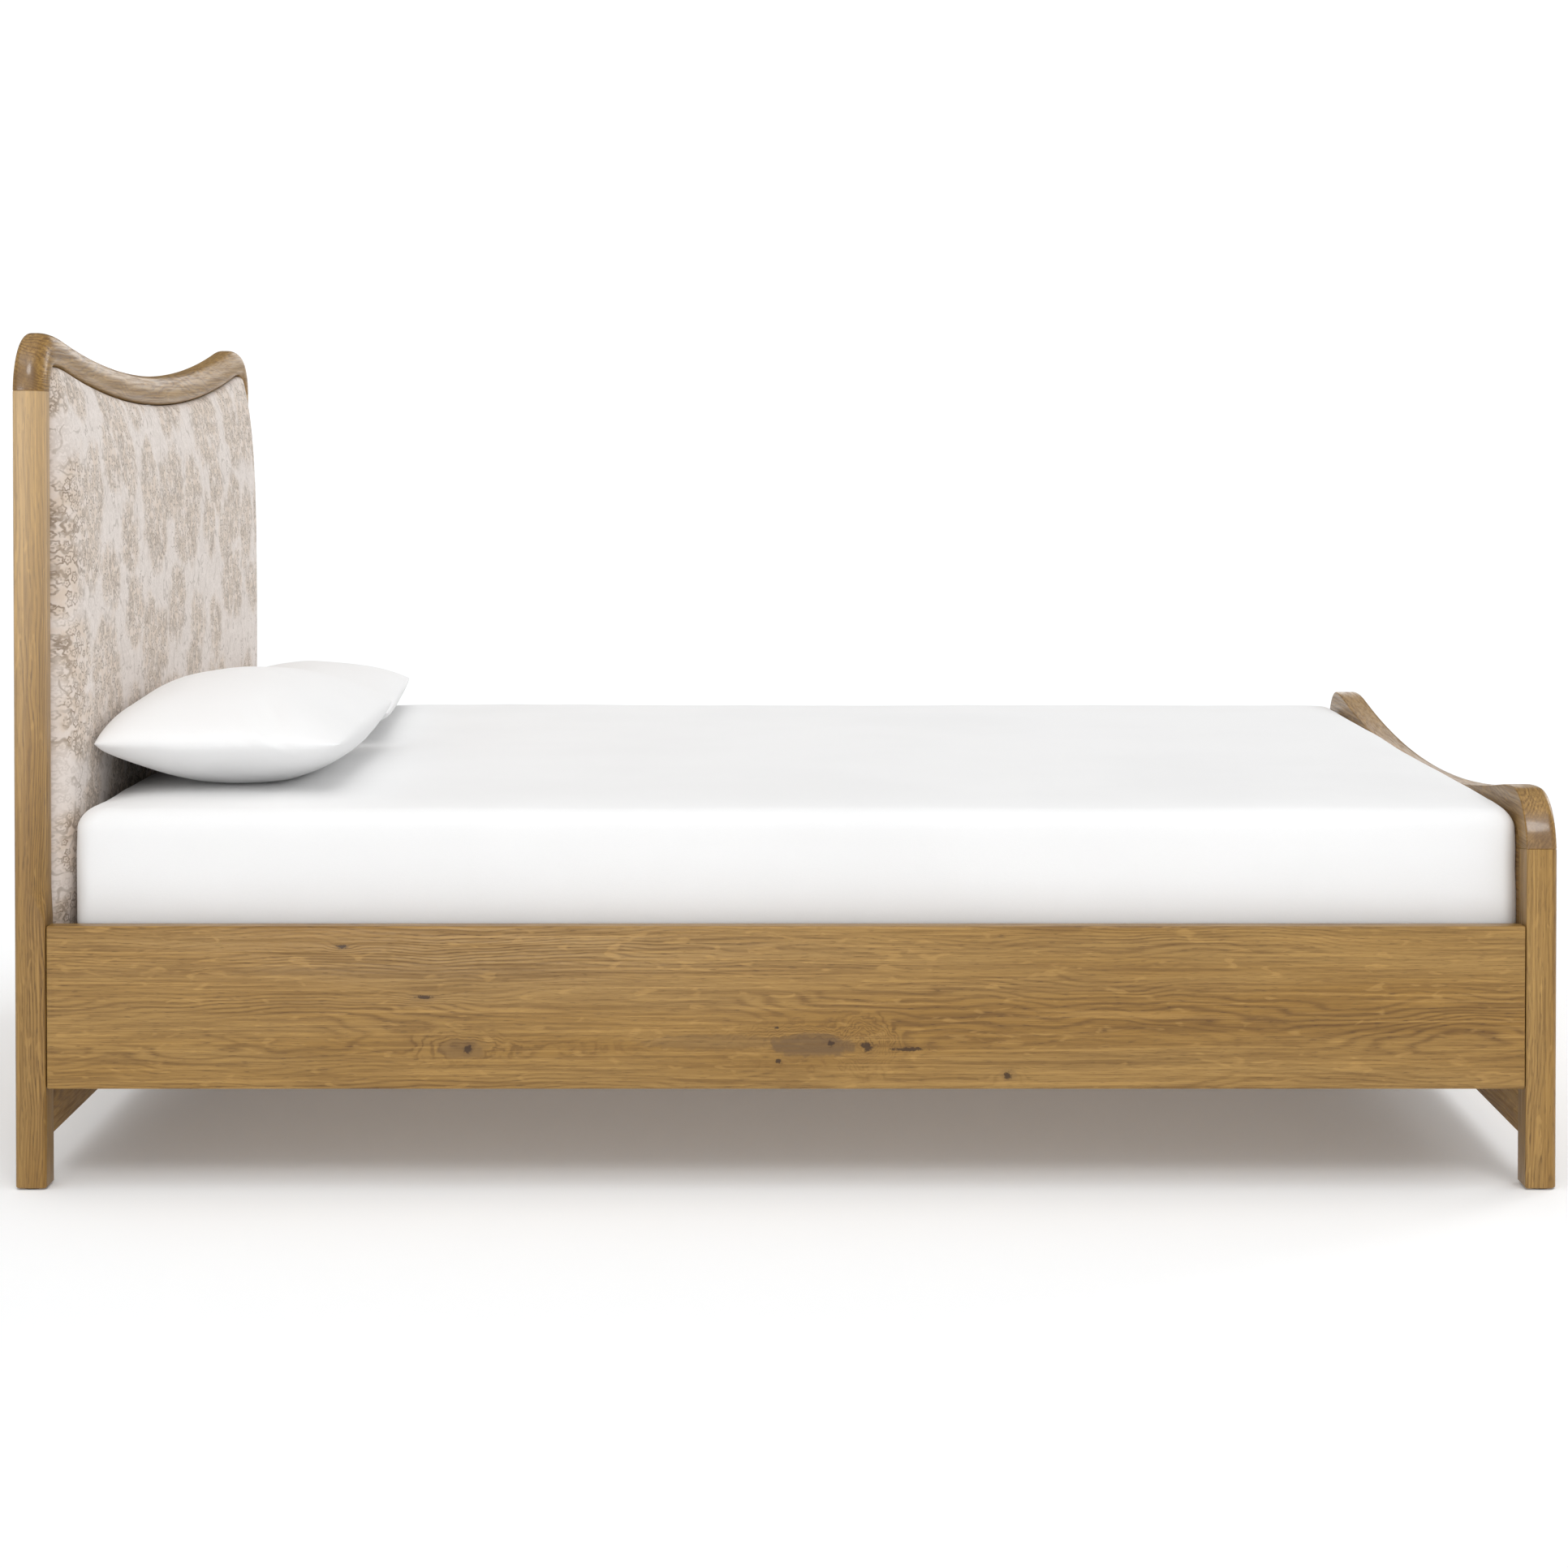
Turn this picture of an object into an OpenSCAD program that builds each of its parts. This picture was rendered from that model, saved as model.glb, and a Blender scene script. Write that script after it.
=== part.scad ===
// Oak bed with a scooped headboard and footboard, a mattress and two pillows.
// Lengths are in millimetres. +X runs from the head to the foot, +Z is up,
// and the origin is on the floor under the middle of the bed.

/* [Bed] */
// Length over both end frames
bed_length = 2156; // [2096:4:2236]
// Width over the posts
bed_width = 1630; // [1590:10:1700]
// Height of the headboard at its shoulders
head_height = 1200; // [1100:10:1300]
// Height of the footboard at its shoulders
foot_height = 555; // [521:2:601]

/* [End frames] */
// Thickness of posts and crest rails, along the bed
frame_depth = 44; // [40:1:50]
// Width of a post's face and height of the crest rail's face
frame_band = 47; // [44:1:52]
// Depth of the scoop in each crest rail
scoop_depth = 55; // [30:1:70]
// Outside radius of each shoulder
shoulder_radius = 86; // [80:1:100]
// Radius where a shoulder rolls into the scoop
roll_radius = 500; // [400:10:600]
// Distance from the headboard's top to its post joint
head_joint_drop = 82; // [80:1:96]
// Distance from the footboard's top to its post joint
foot_joint_drop = 77; // [70:1:86]

/* [Side rails] */
// Height of a side rail's board
rail_height = 228; // [200:4:240]
// Thickness of a side rail's board
rail_thick = 28; // [24:1:32]
// Clear height under the side rails
rail_clearance = 142; // [130:2:160]

/* [Slats] */
// Number of slats
slat_count = 12; // [12:1:12]
// Width of a slat
slat_width = 100; // [80:2:110]
// Thickness of a slat
slat_thick = 18; // [16:1:22]
// Height of the slats' top above the floor
deck_height = 275; // [270:1:285]

/* [Mattress and pillows] */
// Height of the mattress
mattress_height = 247; // [220:1:280]
// Length of a pillow, across the bed
pillow_length = 690; // [600:10:720]
// Width of the left pillow, along the bed
left_pillow_width = 366; // [320:2:480]
// Loft of the left pillow
left_pillow_loft = 168; // [120:2:190]
// Width of the right pillow, which is pressed flatter
right_pillow_width = 340; // [320:2:480]
// Loft of the right pillow
right_pillow_loft = 116; // [100:2:190]

/* [Hidden] */

oak = "peru";
pine = "burlywood";
ply = "tan";
steel = "silver";
linen = "linen";

// Small clearances and shared places
play = 0.3;
half_length = bed_length / 2;
half_width = bed_width / 2;
inner_x = half_length - frame_depth;
inner_y = half_width - frame_band;
rail_top = rail_clearance + rail_height;
rail_end = inner_x - 1;
slat_bottom = deck_height - slat_thick;
glide_height = 2;
leg_positions = [-600, 0, 600];

// Bottom rails of the end frames
bottom_rail_low = 68;
bottom_rail_high = slat_bottom + 1;
bottom_rail_thick = 26;
bottom_rail_set = 2;
tenon_length = 30;
tenon_thick = 10;
tenon_shoulder = 20;

// Upholstered panel, set between the posts of the headboard
panel_low = bottom_rail_high + 4;
panel_gap = 1.5;
back_ply = 6;
batten_size = [12, 60];
backer_thick = 12;
foam_edge = 22;
crown_rise = 18;
cover_thick = 2;
back_x = -half_length + 6;
batten_x = back_x + back_ply;
backer_x = batten_x + batten_size[0];
foam_x = backer_x + backer_thick;

// Rail brackets
plate = [3, 22, 120];
hook_width = 3;
slot_size = [4, 30];
slot_rise = 30;
socket_pocket = 14;
bracket_z = 252;
bracket_y = half_width - 14;
screw_radius = 2;
screw_head = 4;
screw_head_depth = 2.1;
screw_length = 28;

// Beam, legs and feet
beam_size = [45, 70];
beam_low = slat_bottom - beam_size[1];
hanger_thick = 2.5;
leg_size = 45;
leg_low = 30;
stem_radius = 5;
thread_radius = 5.05;
pad_radius = 17;
pad_height = 8;
foot_gap = 0.5;

// Bedding
mattress_low = deck_height + play;
mattress_top = deck_height + mattress_height;
sheet_thick = 2;
sheet_head = -998;
sheet_foot = inner_x - 5;
sheet_half = inner_y - 3;
core_head = sheet_head + sheet_thick;
core_foot = sheet_foot - sheet_thick;
core_half = sheet_half - sheet_thick;
core_top = mattress_top - sheet_thick;
core_corner = 34;
pad_thick = 28;
border_thick = 30;
spring_pitch = 180;
spring_radius = 32;
spring_wire = 0.8;
pillow_edge = 24;
pillow_head = -998;

// Distance of the arc centres that shape a crest rail
roll_angle = 2 * atan(scoop_depth / (half_width - shoulder_radius));
scoop_radius = (half_width - shoulder_radius) / sin(roll_angle) - roll_radius;
arc_steps = 14;

// Half of the arch, inset by a distance, from the foot of the post to mid width.
// Its first value is the distance from the centre line, its second the height.
function half_arch(top, inset) = concat(
    [[-half_width + inset, glide_height]],
    [for (i = [0:arc_steps])
        let (a = 90 * i / arc_steps, r = shoulder_radius - inset)
        [-half_width + shoulder_radius - r * cos(a), top - shoulder_radius + r * sin(a)]],
    [for (i = [1:4])
        let (a = roll_angle * i / 4, r = roll_radius - inset)
        [-half_width + shoulder_radius + r * sin(a), top - roll_radius + r * cos(a)]],
    [for (i = [arc_steps - 1:-1:0])
        let (a = roll_angle * i / arc_steps, r = scoop_radius + inset)
        [-r * sin(a), top - scoop_depth + scoop_radius - r * cos(a)]]);
function mirrored(points) = [for (i = [len(points) - 2:-1:0]) [-points[i][0], points[i][1]]];
function whole_arch(top, inset) =
    let (half = half_arch(top, inset)) concat(half, mirrored(half));

// Outline of a whole end frame's posts and crest rail
module arch_band(top) {
    difference() {
        polygon(whole_arch(top, 0));
        polygon(concat([[-inner_y, 0]], whole_arch(top, frame_band), [[inner_y, 0]]));
    }
}

// Sets an outline drawn in width and height upright, from x and as deep as stated
module upright(x, depth) {
    translate([x, 0, 0]) rotate([90, 0, 90]) linear_extrude(depth) children();
}

module box(low, high) {
    translate(low) cube(high - low);
}

module rod(start, turn, length, radius) {
    translate(start) rotate(turn) cylinder(h = length, r = radius, $fn = 32);
}

// Where one post stands in an end frame's outline, up to its joint
post_reach = frame_band + 10;
module post_area(top, drop, side) {
    translate([side < 0 ? -half_width : half_width - post_reach, 0])
        square([post_reach, top - drop]);
}

module post_outline(top, drop, side) {
    intersection() {
        arch_band(top);
        post_area(top, drop, side);
    }
}

module crest_outline(top, drop) {
    difference() {
        arch_band(top);
        post_area(top, drop, -1);
        post_area(top, drop, 1);
    }
}

// Where the dowels of an end frame go
dowel_radius = 6;
dowel_depth = 30;
dowel_offsets = [-10, 10];
function frame_mid(end) = end * (half_length - frame_depth / 2);

module dowels(end, top, drop) {
    for (side = [-1, 1], along = dowel_offsets)
        rod([frame_mid(end) + along, side * (half_width - frame_band / 2), top - drop - dowel_depth],
            [0, 0, 0], 2 * dowel_depth, dowel_radius);
}

// Space that the tenons of a bottom rail fill in both posts
module tenons(end) {
    mid = rail_mid(end);
    for (side = [-1, 1])
        box([mid - tenon_thick / 2, side < 0 ? -inner_y - tenon_length : inner_y,
             bottom_rail_low + tenon_shoulder],
            [mid + tenon_thick / 2, side < 0 ? -inner_y : inner_y + tenon_length,
             bottom_rail_high - tenon_shoulder]);
}
function rail_mid(end) = end * (inner_x + bottom_rail_set + bottom_rail_thick / 2);

// Pocket for a socket plate and the hooks behind it, in a post's inner face
module socket_space(end, side) {
    y = side * bracket_y;
    face = end * inner_x;
    box([min(face, face + end * plate[0]), y - plate[1] / 2, bracket_z - plate[2] / 2],
        [max(face, face + end * plate[0]), y + plate[1] / 2, bracket_z + plate[2] / 2]);
    for (rise = [-1, 1])
        box([min(face, face + end * socket_pocket), y - slot_size[0] / 2 - 1,
             bracket_z + rise * slot_rise - slot_size[1] / 2 - 8],
            [max(face, face + end * socket_pocket), y + slot_size[0] / 2 + 1,
             bracket_z + rise * slot_rise + slot_size[1] / 2 + 1]);
}

module post(end, side, top, drop) {
    difference() {
        upright(end < 0 ? -half_length : inner_x, frame_depth) post_outline(top, drop, side);
        dowels(end, top, drop);
        tenons(end);
        socket_space(end, side);
    }
}

module crest_rail(end, top, drop) {
    difference() {
        upright(end < 0 ? -half_length : inner_x, frame_depth) crest_outline(top, drop);
        dowels(end, top, drop);
    }
}

module bottom_rail(end) {
    mid = rail_mid(end);
    box([mid - bottom_rail_thick / 2, -inner_y, bottom_rail_low],
        [mid + bottom_rail_thick / 2, inner_y, bottom_rail_high]);
    tenons(end);
}

// Outline of what fills an end frame's opening above its bottom rail
module opening_outline(top, low, gap) {
    intersection() {
        polygon(concat([[-inner_y + gap, 0]], whole_arch(top, frame_band + gap),
                       [[inner_y - gap, 0]]));
        translate([-half_width, low]) square([bed_width, top]);
    }
}

// Upright block whose front is crowned across the bed, to shape the headboard's padding
crown_steps = 20;
module crown(front_x) {
    radius = (inner_y * inner_y + crown_rise * crown_rise) / (2 * crown_rise);
    span = asin(inner_y / radius);
    front = [for (i = [-crown_steps:crown_steps])
        let (a = span * i / crown_steps)
        [front_x - radius + radius * cos(a), radius * sin(a)]];
    linear_extrude(head_height)
        polygon(concat([[-half_length, -inner_y]], front, [[-half_length, inner_y]]));
}
crown_front = foam_x + foam_edge + crown_rise;

module headboard_post_left() color(oak) post(-1, -1, head_height, head_joint_drop);
module headboard_post_right() color(oak) post(-1, 1, head_height, head_joint_drop);
module headboard_crest_rail() color(oak) crest_rail(-1, head_height, head_joint_drop);
module headboard_bottom_rail() color(oak) bottom_rail(-1);

module batten(side) {
    near = side * (inner_y - 2);
    far = near - side * batten_size[1];
    color(pine)
        box([batten_x, min(near, far), panel_low],
            [backer_x, max(near, far), head_height - shoulder_radius - frame_band]);
}
module headboard_batten_left() batten(-1);
module headboard_batten_right() batten(1);

module headboard_backer_board() color(ply)
    upright(backer_x, backer_thick) opening_outline(head_height, panel_low, panel_gap);

module headboard_foam_pad() color("khaki")
    intersection() {
        upright(foam_x, 100) opening_outline(head_height, panel_low, panel_gap + cover_thick);
        crown(crown_front);
    }

module headboard_fabric_cover() color("antiquewhite")
    difference() {
        intersection() {
            upright(foam_x, 100) opening_outline(head_height, panel_low, panel_gap);
            crown(crown_front + cover_thick);
        }
        intersection() {
            upright(foam_x - 1, 100)
                opening_outline(head_height, panel_low, panel_gap + cover_thick);
            crown(crown_front);
        }
    }

module headboard_back_panel() color(ply)
    upright(back_x, back_ply) opening_outline(head_height, panel_low, panel_gap);

module footboard_post_left() color(oak) post(1, -1, foot_height, foot_joint_drop);
module footboard_post_right() color(oak) post(1, 1, foot_height, foot_joint_drop);
module footboard_crest_rail() color(oak) crest_rail(1, foot_height, foot_joint_drop);
module footboard_bottom_rail() color(oak) bottom_rail(1);

// The footboard's panel is flush with the posts on the mattress side
module footboard_panel() color(oak)
    upright(inner_x, 20) opening_outline(foot_height, bottom_rail_high, 0);

module crest_dowels() color(pine) {
    dowels(-1, head_height, head_joint_drop);
    dowels(1, foot_height, foot_joint_drop);
}

glide_radius = 18;
module floor_glides() color("dimgray")
    for (end = [-1, 1], side = [-1, 1])
        translate([frame_mid(end), side * (half_width - frame_band / 2), 0])
            cylinder(h = glide_height, r = glide_radius, $fn = 48);

// Pocket for a hook plate, in the end of a side rail
module hook_space(end, side) {
    y = side * bracket_y;
    face = end * rail_end;
    box([min(face, face - end * plate[0]), y - plate[1] / 2, bracket_z - plate[2] / 2],
        [max(face, face - end * plate[0]), y + plate[1] / 2, bracket_z + plate[2] / 2]);
}

module side_rail(side) {
    y = side < 0 ? -half_width : half_width - rail_thick;
    color(oak)
        difference() {
            box([-rail_end, y, rail_clearance], [rail_end, y + rail_thick, rail_top]);
            for (end = [-1, 1]) hook_space(end, side);
        }
}
module side_rail_left() side_rail(-1);
module side_rail_right() side_rail(1);

// Countersunk screws of one plate, from its face at x and pointing towards turn
screw_rises = [-55, 0, 55];
module plate_screws(x, y, turn) {
    for (rise = screw_rises)
        translate([x, y, bracket_z + rise]) rotate([0, turn, 0]) screw(screw_length);
}

// A countersunk screw with its head's face at the origin and its shank along +Z
module screw(length) {
    cylinder(h = screw_head_depth, r1 = screw_head, r2 = screw_radius, $fn = 24);
    cylinder(h = length, r = screw_radius, $fn = 24);
}

module hook_plate(end, side) {
    y = side * bracket_y;
    face = end * rail_end;
    reach = end * (inner_x + plate[0] + 0.5);
    tip = end * (inner_x + socket_pocket - 2);
    difference() {
        hook_space(end, side);
        plate_screws(face, y, -90 * end);
    }
    for (rise = [-1, 1]) {
        low = bracket_z + rise * slot_rise - slot_size[1] / 2 + 2;
        box([min(face, tip), y - hook_width / 2, low],
            [max(face, tip), y + hook_width / 2, low + 20]);
        box([min(reach, tip), y - hook_width / 2, low - 8],
            [max(reach, tip), y + hook_width / 2, low]);
    }
}
module rail_hooks_left() color(steel) {
    hook_plate(-1, -1);
    hook_plate(1, -1);
}
module rail_hooks_right() color(steel) {
    hook_plate(-1, 1);
    hook_plate(1, 1);
}

module socket_plate(end, side) {
    y = side * bracket_y;
    face = end * inner_x;
    difference() {
        box([min(face, face + end * plate[0]), y - plate[1] / 2, bracket_z - plate[2] / 2],
            [max(face, face + end * plate[0]), y + plate[1] / 2, bracket_z + plate[2] / 2]);
        for (rise = [-1, 1])
            translate([face, y, bracket_z + rise * slot_rise])
                cube([4 * plate[0], slot_size[0], slot_size[1]], center = true);
        plate_screws(face, y, 90 * end);
    }
}
module post_sockets_head() color(steel) {
    socket_plate(-1, -1);
    socket_plate(-1, 1);
}
module post_sockets_foot() color(steel) {
    socket_plate(1, -1);
    socket_plate(1, 1);
}

module bracket_screws() color("gainsboro")
    for (end = [-1, 1], side = [-1, 1]) {
        plate_screws(end * rail_end, side * bracket_y, -90 * end);
        plate_screws(end * inner_x, side * bracket_y, 90 * end);
    }

ledger_size = [25, 32];
ledger_end = rail_end - 40;
module ledger(side) {
    near = side * (half_width - rail_thick);
    far = near - side * ledger_size[0];
    color(pine)
        box([-ledger_end, min(near, far), slat_bottom - ledger_size[1]],
            [ledger_end, max(near, far), slat_bottom]);
}
module slat_ledger_left() ledger(-1);
module slat_ledger_right() ledger(1);

ledger_screw_count = 7;
module ledger_screws() color("gainsboro")
    for (side = [-1, 1], i = [0:ledger_screw_count - 1])
        translate([-ledger_end + 60 + i * (2 * ledger_end - 120) / (ledger_screw_count - 1),
                   side * (half_width - rail_thick - ledger_size[0]),
                   slat_bottom - ledger_size[1] / 2])
            rotate([-90 * side, 0, 0]) screw(40);

slat_half = half_width - rail_thick - 7;
slat_pitch = (2 * inner_x - 2 * 40 - slat_width) / (slat_count - 1);
function slat_x(i) = -(slat_count - 1) * slat_pitch / 2 + (i - 1) * slat_pitch;
module slat(i) color("wheat")
    box([slat_x(i) - slat_width / 2, -slat_half, slat_bottom],
        [slat_x(i) + slat_width / 2, slat_half, deck_height]);

module slat_screws() color("gainsboro")
    for (i = [1:slat_count], side = [-1, 1])
        translate([slat_x(i), side * (half_width - rail_thick - ledger_size[0] / 2), deck_height])
            rotate([180, 0, 0]) screw(35);

beam_end = inner_x - hanger_thick;
module centre_beam() color(pine)
    box([-beam_end, -beam_size[0] / 2, beam_low], [beam_end, beam_size[0] / 2, slat_bottom]);

// Folded steel hanger: a back plate, a seat under the beam and two cheeks
hanger_reach = 50;
hanger_flange = 25;
hanger_screw_y = beam_size[0] / 2 + hanger_thick + hanger_flange / 2;
hanger_screw_z = [beam_low + 12, beam_low + 48];
module beam_hanger(end) {
    face = end * (inner_x + bottom_rail_set);
    back = end * beam_end;
    tip = end * (beam_end - hanger_reach);
    wide = beam_size[0] / 2 + hanger_thick;
    color(steel)
        difference() {
            union() {
                box([min(face, back), -wide - hanger_flange, beam_low - hanger_thick],
                    [max(face, back), wide + hanger_flange, beam_low + 60]);
                box([min(tip, back), -wide, beam_low - hanger_thick],
                    [max(tip, back), wide, beam_low]);
                for (side = [-1, 1])
                    box([min(tip, back), side < 0 ? -wide : beam_size[0] / 2, beam_low],
                        [max(tip, back), side < 0 ? -beam_size[0] / 2 : wide, beam_low + 45]);
            }
            hanger_screw_set(end);
        }
}
module hanger_screw_set(end) {
    for (side = [-1, 1], z = hanger_screw_z)
        translate([end * beam_end, side * hanger_screw_y, z]) rotate([0, 90 * end, 0]) screw(22);
}
module beam_hanger_head() beam_hanger(-1);
module beam_hanger_foot() beam_hanger(1);
module hanger_screws() color("gainsboro") {
    hanger_screw_set(-1);
    hanger_screw_set(1);
}

insert_radius = 9;
insert_height = 14;
module centre_leg(x) color(pine)
    difference() {
        box([x - leg_size / 2, -leg_size / 2, leg_low], [x + leg_size / 2, leg_size / 2, beam_low]);
        rod([x, 0, leg_low - 1], [0, 0, 0], insert_height + 1, insert_radius);
        rod([x, 0, leg_low], [0, 0, 0], 75, stem_radius + 1.5);
    }
module centre_leg_head() centre_leg(leg_positions[0]);
module centre_leg_middle() centre_leg(leg_positions[1]);
module centre_leg_foot() centre_leg(leg_positions[2]);

module leg_inserts() color("goldenrod")
    for (x = leg_positions)
        difference() {
            rod([x, 0, leg_low], [0, 0, 0], insert_height, insert_radius);
            rod([x, 0, leg_low - 1], [0, 0, 0], insert_height + 2, thread_radius);
        }

module levelling_foot(x) color("dimgray") {
    rod([x, 0, foot_gap], [0, 0, 0], pad_height, pad_radius);
    rod([x, 0, foot_gap], [0, 0, 0], 80, stem_radius);
}
module levelling_foot_head() levelling_foot(leg_positions[0]);
module levelling_foot_middle() levelling_foot(leg_positions[1]);
module levelling_foot_foot() levelling_foot(leg_positions[2]);

// A block with rounded upright corners, inset all round from the mattress's sides
module mattress_block(inset, low, high) {
    r = core_corner - inset;
    x0 = core_head + core_corner;
    x1 = core_foot - core_corner;
    y1 = core_half - core_corner;
    translate([0, 0, low])
        linear_extrude(high - low)
            union() {
                translate([x0 - r, -y1]) square([x1 - x0 + 2 * r, 2 * y1]);
                translate([x0, -y1 - r]) square([x1 - x0, 2 * (y1 + r)]);
                for (x = [x0, x1], y = [-y1, y1]) translate([x, y]) circle(r, $fn = 48);
            }
}

module mattress_top_pad() color("white") mattress_block(0, core_top - pad_thick, core_top);
module mattress_bottom_pad() color("white")
    mattress_block(0, mattress_low, mattress_low + pad_thick);
module mattress_border() color("gainsboro")
    difference() {
        mattress_block(0, mattress_low + pad_thick, core_top - pad_thick);
        mattress_block(border_thick, mattress_low, core_top);
    }

// Pocketed springs, each drawn as a plain thin sleeve
module mattress_spring_unit() color(steel)
    for (x = [-4.5:4.5], y = [-3.5:3.5])
        translate([(core_head + core_foot) / 2 + x * spring_pitch, y * spring_pitch,
                   mattress_low + pad_thick])
            difference() {
                cylinder(h = core_top - mattress_low - 2 * pad_thick, r = spring_radius, $fn = 32);
                translate([0, 0, -1])
                    cylinder(h = mattress_height, r = spring_radius - spring_wire, $fn = 32);
            }

module fitted_sheet() color("whitesmoke")
    difference() {
        mattress_block(-sheet_thick, mattress_low, mattress_top);
        mattress_block(-play / 2, mattress_low - 1, core_top + play / 2);
    }

// A pillow, thick in the middle and thin at its seam: two crossed lenses
function lens_radius(width, rise) = (width * width / 4 + rise * rise) / (2 * rise);
module lens(width, length, loft) {
    r = lens_radius(width, (loft - pillow_edge) / 2);
    intersection() {
        translate([0, 0, loft / 2 - r])
            rotate([90, 0, 0]) cylinder(h = length, r = r, center = true, $fn = 360);
        translate([0, 0, r - loft / 2])
            rotate([90, 0, 0]) cylinder(h = length, r = r, center = true, $fn = 360);
        cube([width, length, loft], center = true);
    }
}
module pillow(side, width, loft) color(linen)
    translate([pillow_head + width / 2, side * (pillow_length / 2 + 8),
               mattress_top + play + loft / 2])
        intersection() {
            lens(width, pillow_length, loft);
            rotate([0, 0, 90]) lens(pillow_length, width, loft);
        }
module pillow_left() pillow(-1, left_pillow_width, left_pillow_loft);
module pillow_right() pillow(1, right_pillow_width, right_pillow_loft);

headboard_post_left();
headboard_post_right();
headboard_crest_rail();
headboard_bottom_rail();
headboard_batten_left();
headboard_batten_right();
headboard_backer_board();
headboard_foam_pad();
headboard_fabric_cover();
headboard_back_panel();
footboard_post_left();
footboard_post_right();
footboard_crest_rail();
footboard_panel();
footboard_bottom_rail();
crest_dowels();
floor_glides();
side_rail_left();
side_rail_right();
rail_hooks_left();
rail_hooks_right();
post_sockets_head();
post_sockets_foot();
bracket_screws();
slat_ledger_left();
slat_ledger_right();
ledger_screws();
slat_screws();
centre_beam();
beam_hanger_head();
beam_hanger_foot();
hanger_screws();
centre_leg_head();
centre_leg_middle();
centre_leg_foot();
leg_inserts();
levelling_foot_head();
levelling_foot_middle();
levelling_foot_foot();
mattress_top_pad();
mattress_border();
mattress_bottom_pad();
mattress_spring_unit();
fitted_sheet();
pillow_left();
pillow_right();
for (i = [1:slat_count]) slat(i);
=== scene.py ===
"""Oak bed with a scooped headboard and footboard, a sheeted mattress and two pillows.

Every length is in metres. +X runs from the head to the foot, +Z is up, and the
origin is on the floor under the middle of the bed.
"""
import math

import bmesh
import bpy
from bpy.props import FloatProperty, FloatVectorProperty, IntProperty, PointerProperty
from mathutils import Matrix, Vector, noise


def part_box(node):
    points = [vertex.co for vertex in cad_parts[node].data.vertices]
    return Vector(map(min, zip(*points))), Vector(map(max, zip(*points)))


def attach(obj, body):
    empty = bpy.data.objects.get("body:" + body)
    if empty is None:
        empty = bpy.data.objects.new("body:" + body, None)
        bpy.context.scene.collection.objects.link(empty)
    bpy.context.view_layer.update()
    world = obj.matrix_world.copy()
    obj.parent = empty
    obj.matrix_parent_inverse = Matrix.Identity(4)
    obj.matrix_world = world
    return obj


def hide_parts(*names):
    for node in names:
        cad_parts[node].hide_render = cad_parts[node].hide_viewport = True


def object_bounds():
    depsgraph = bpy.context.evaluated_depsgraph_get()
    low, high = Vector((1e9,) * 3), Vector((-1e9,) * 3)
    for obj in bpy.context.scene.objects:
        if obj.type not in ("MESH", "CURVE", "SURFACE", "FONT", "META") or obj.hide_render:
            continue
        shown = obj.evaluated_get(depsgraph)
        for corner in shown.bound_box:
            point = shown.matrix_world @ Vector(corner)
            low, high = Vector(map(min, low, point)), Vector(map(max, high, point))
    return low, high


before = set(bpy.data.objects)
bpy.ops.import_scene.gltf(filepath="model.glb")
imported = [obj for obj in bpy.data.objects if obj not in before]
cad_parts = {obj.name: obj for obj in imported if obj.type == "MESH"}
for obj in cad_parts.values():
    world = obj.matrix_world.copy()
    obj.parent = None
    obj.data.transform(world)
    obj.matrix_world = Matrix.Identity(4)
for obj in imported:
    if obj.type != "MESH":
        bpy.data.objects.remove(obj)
cad_low, cad_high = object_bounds()

bl_info = {
    "name": "Scooped oak bed",
    "version": (1, 0, 0),
    "blender": (4, 5, 0),
    "location": "3D View > Sidebar > Bed",
    "description": "Builds an oak bed with an upholstered headboard, bedding and slatted base",
    "category": "Add Mesh",
}

SIDES = (("left", -1), ("right", 1))
FEET = ("head", "middle", "foot")
SLATS = sorted(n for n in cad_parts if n.startswith("slat_") and n[5:].isdigit())


def span(node):
    """Lowest corner, highest corner and size of a node, as vectors."""
    low, high = (Vector(corner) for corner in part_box(node))
    return low, high, high - low


def frame_object(node):
    """The Blender object of a CAD node."""
    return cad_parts[node]


# ---------------------------------------------------------------------------
# Sizes and colours that a user may change
# ---------------------------------------------------------------------------


def length(name, description, default):
    """A property in metres."""
    return FloatProperty(
        name=name, description=description, default=default, min=0.0, unit="LENGTH", precision=4
    )


def share(name, description, default, top=1.0):
    """A plain factor."""
    return FloatProperty(name=name, description=description, default=default, min=0.0, max=top)


def colour(name, description, default):
    """A linear colour."""
    return FloatVectorProperty(
        name=name, description=description, default=default, size=3, subtype="COLOR", min=0, max=1
    )


class EndFrameShape(bpy.types.PropertyGroup):
    """How the posts and crest rails are shaped."""

    shoulder: length("Shoulder", "Outside radius of each shoulder", 0.086)
    roll: length("Roll", "Radius where a shoulder rolls into the scoop", 0.5)
    head_front: length("Headboard front", "Rounding of the headboard's front arris", 0.027)
    head_back: length("Headboard back", "Rounding of the headboard's rear arris", 0.008)
    head_inner: length("Headboard inner", "Rounding of the arris beside the upholstery", 0.012)
    foot_front: length("Footboard inner", "Easing of the footboard's inner arris", 0.0022)
    foot_back: length("Footboard outer", "Rounding of the footboard's outer arris", 0.011)
    eased: length("Eased arris", "Easing of every other arris", 0.003)
    stop: length("Stopped length", "Length over which a round arris fades out above a rail", 0.05)
    joint: length("Joint line", "Depth of the eased line where a crest rail meets a post", 0.0007)


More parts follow.
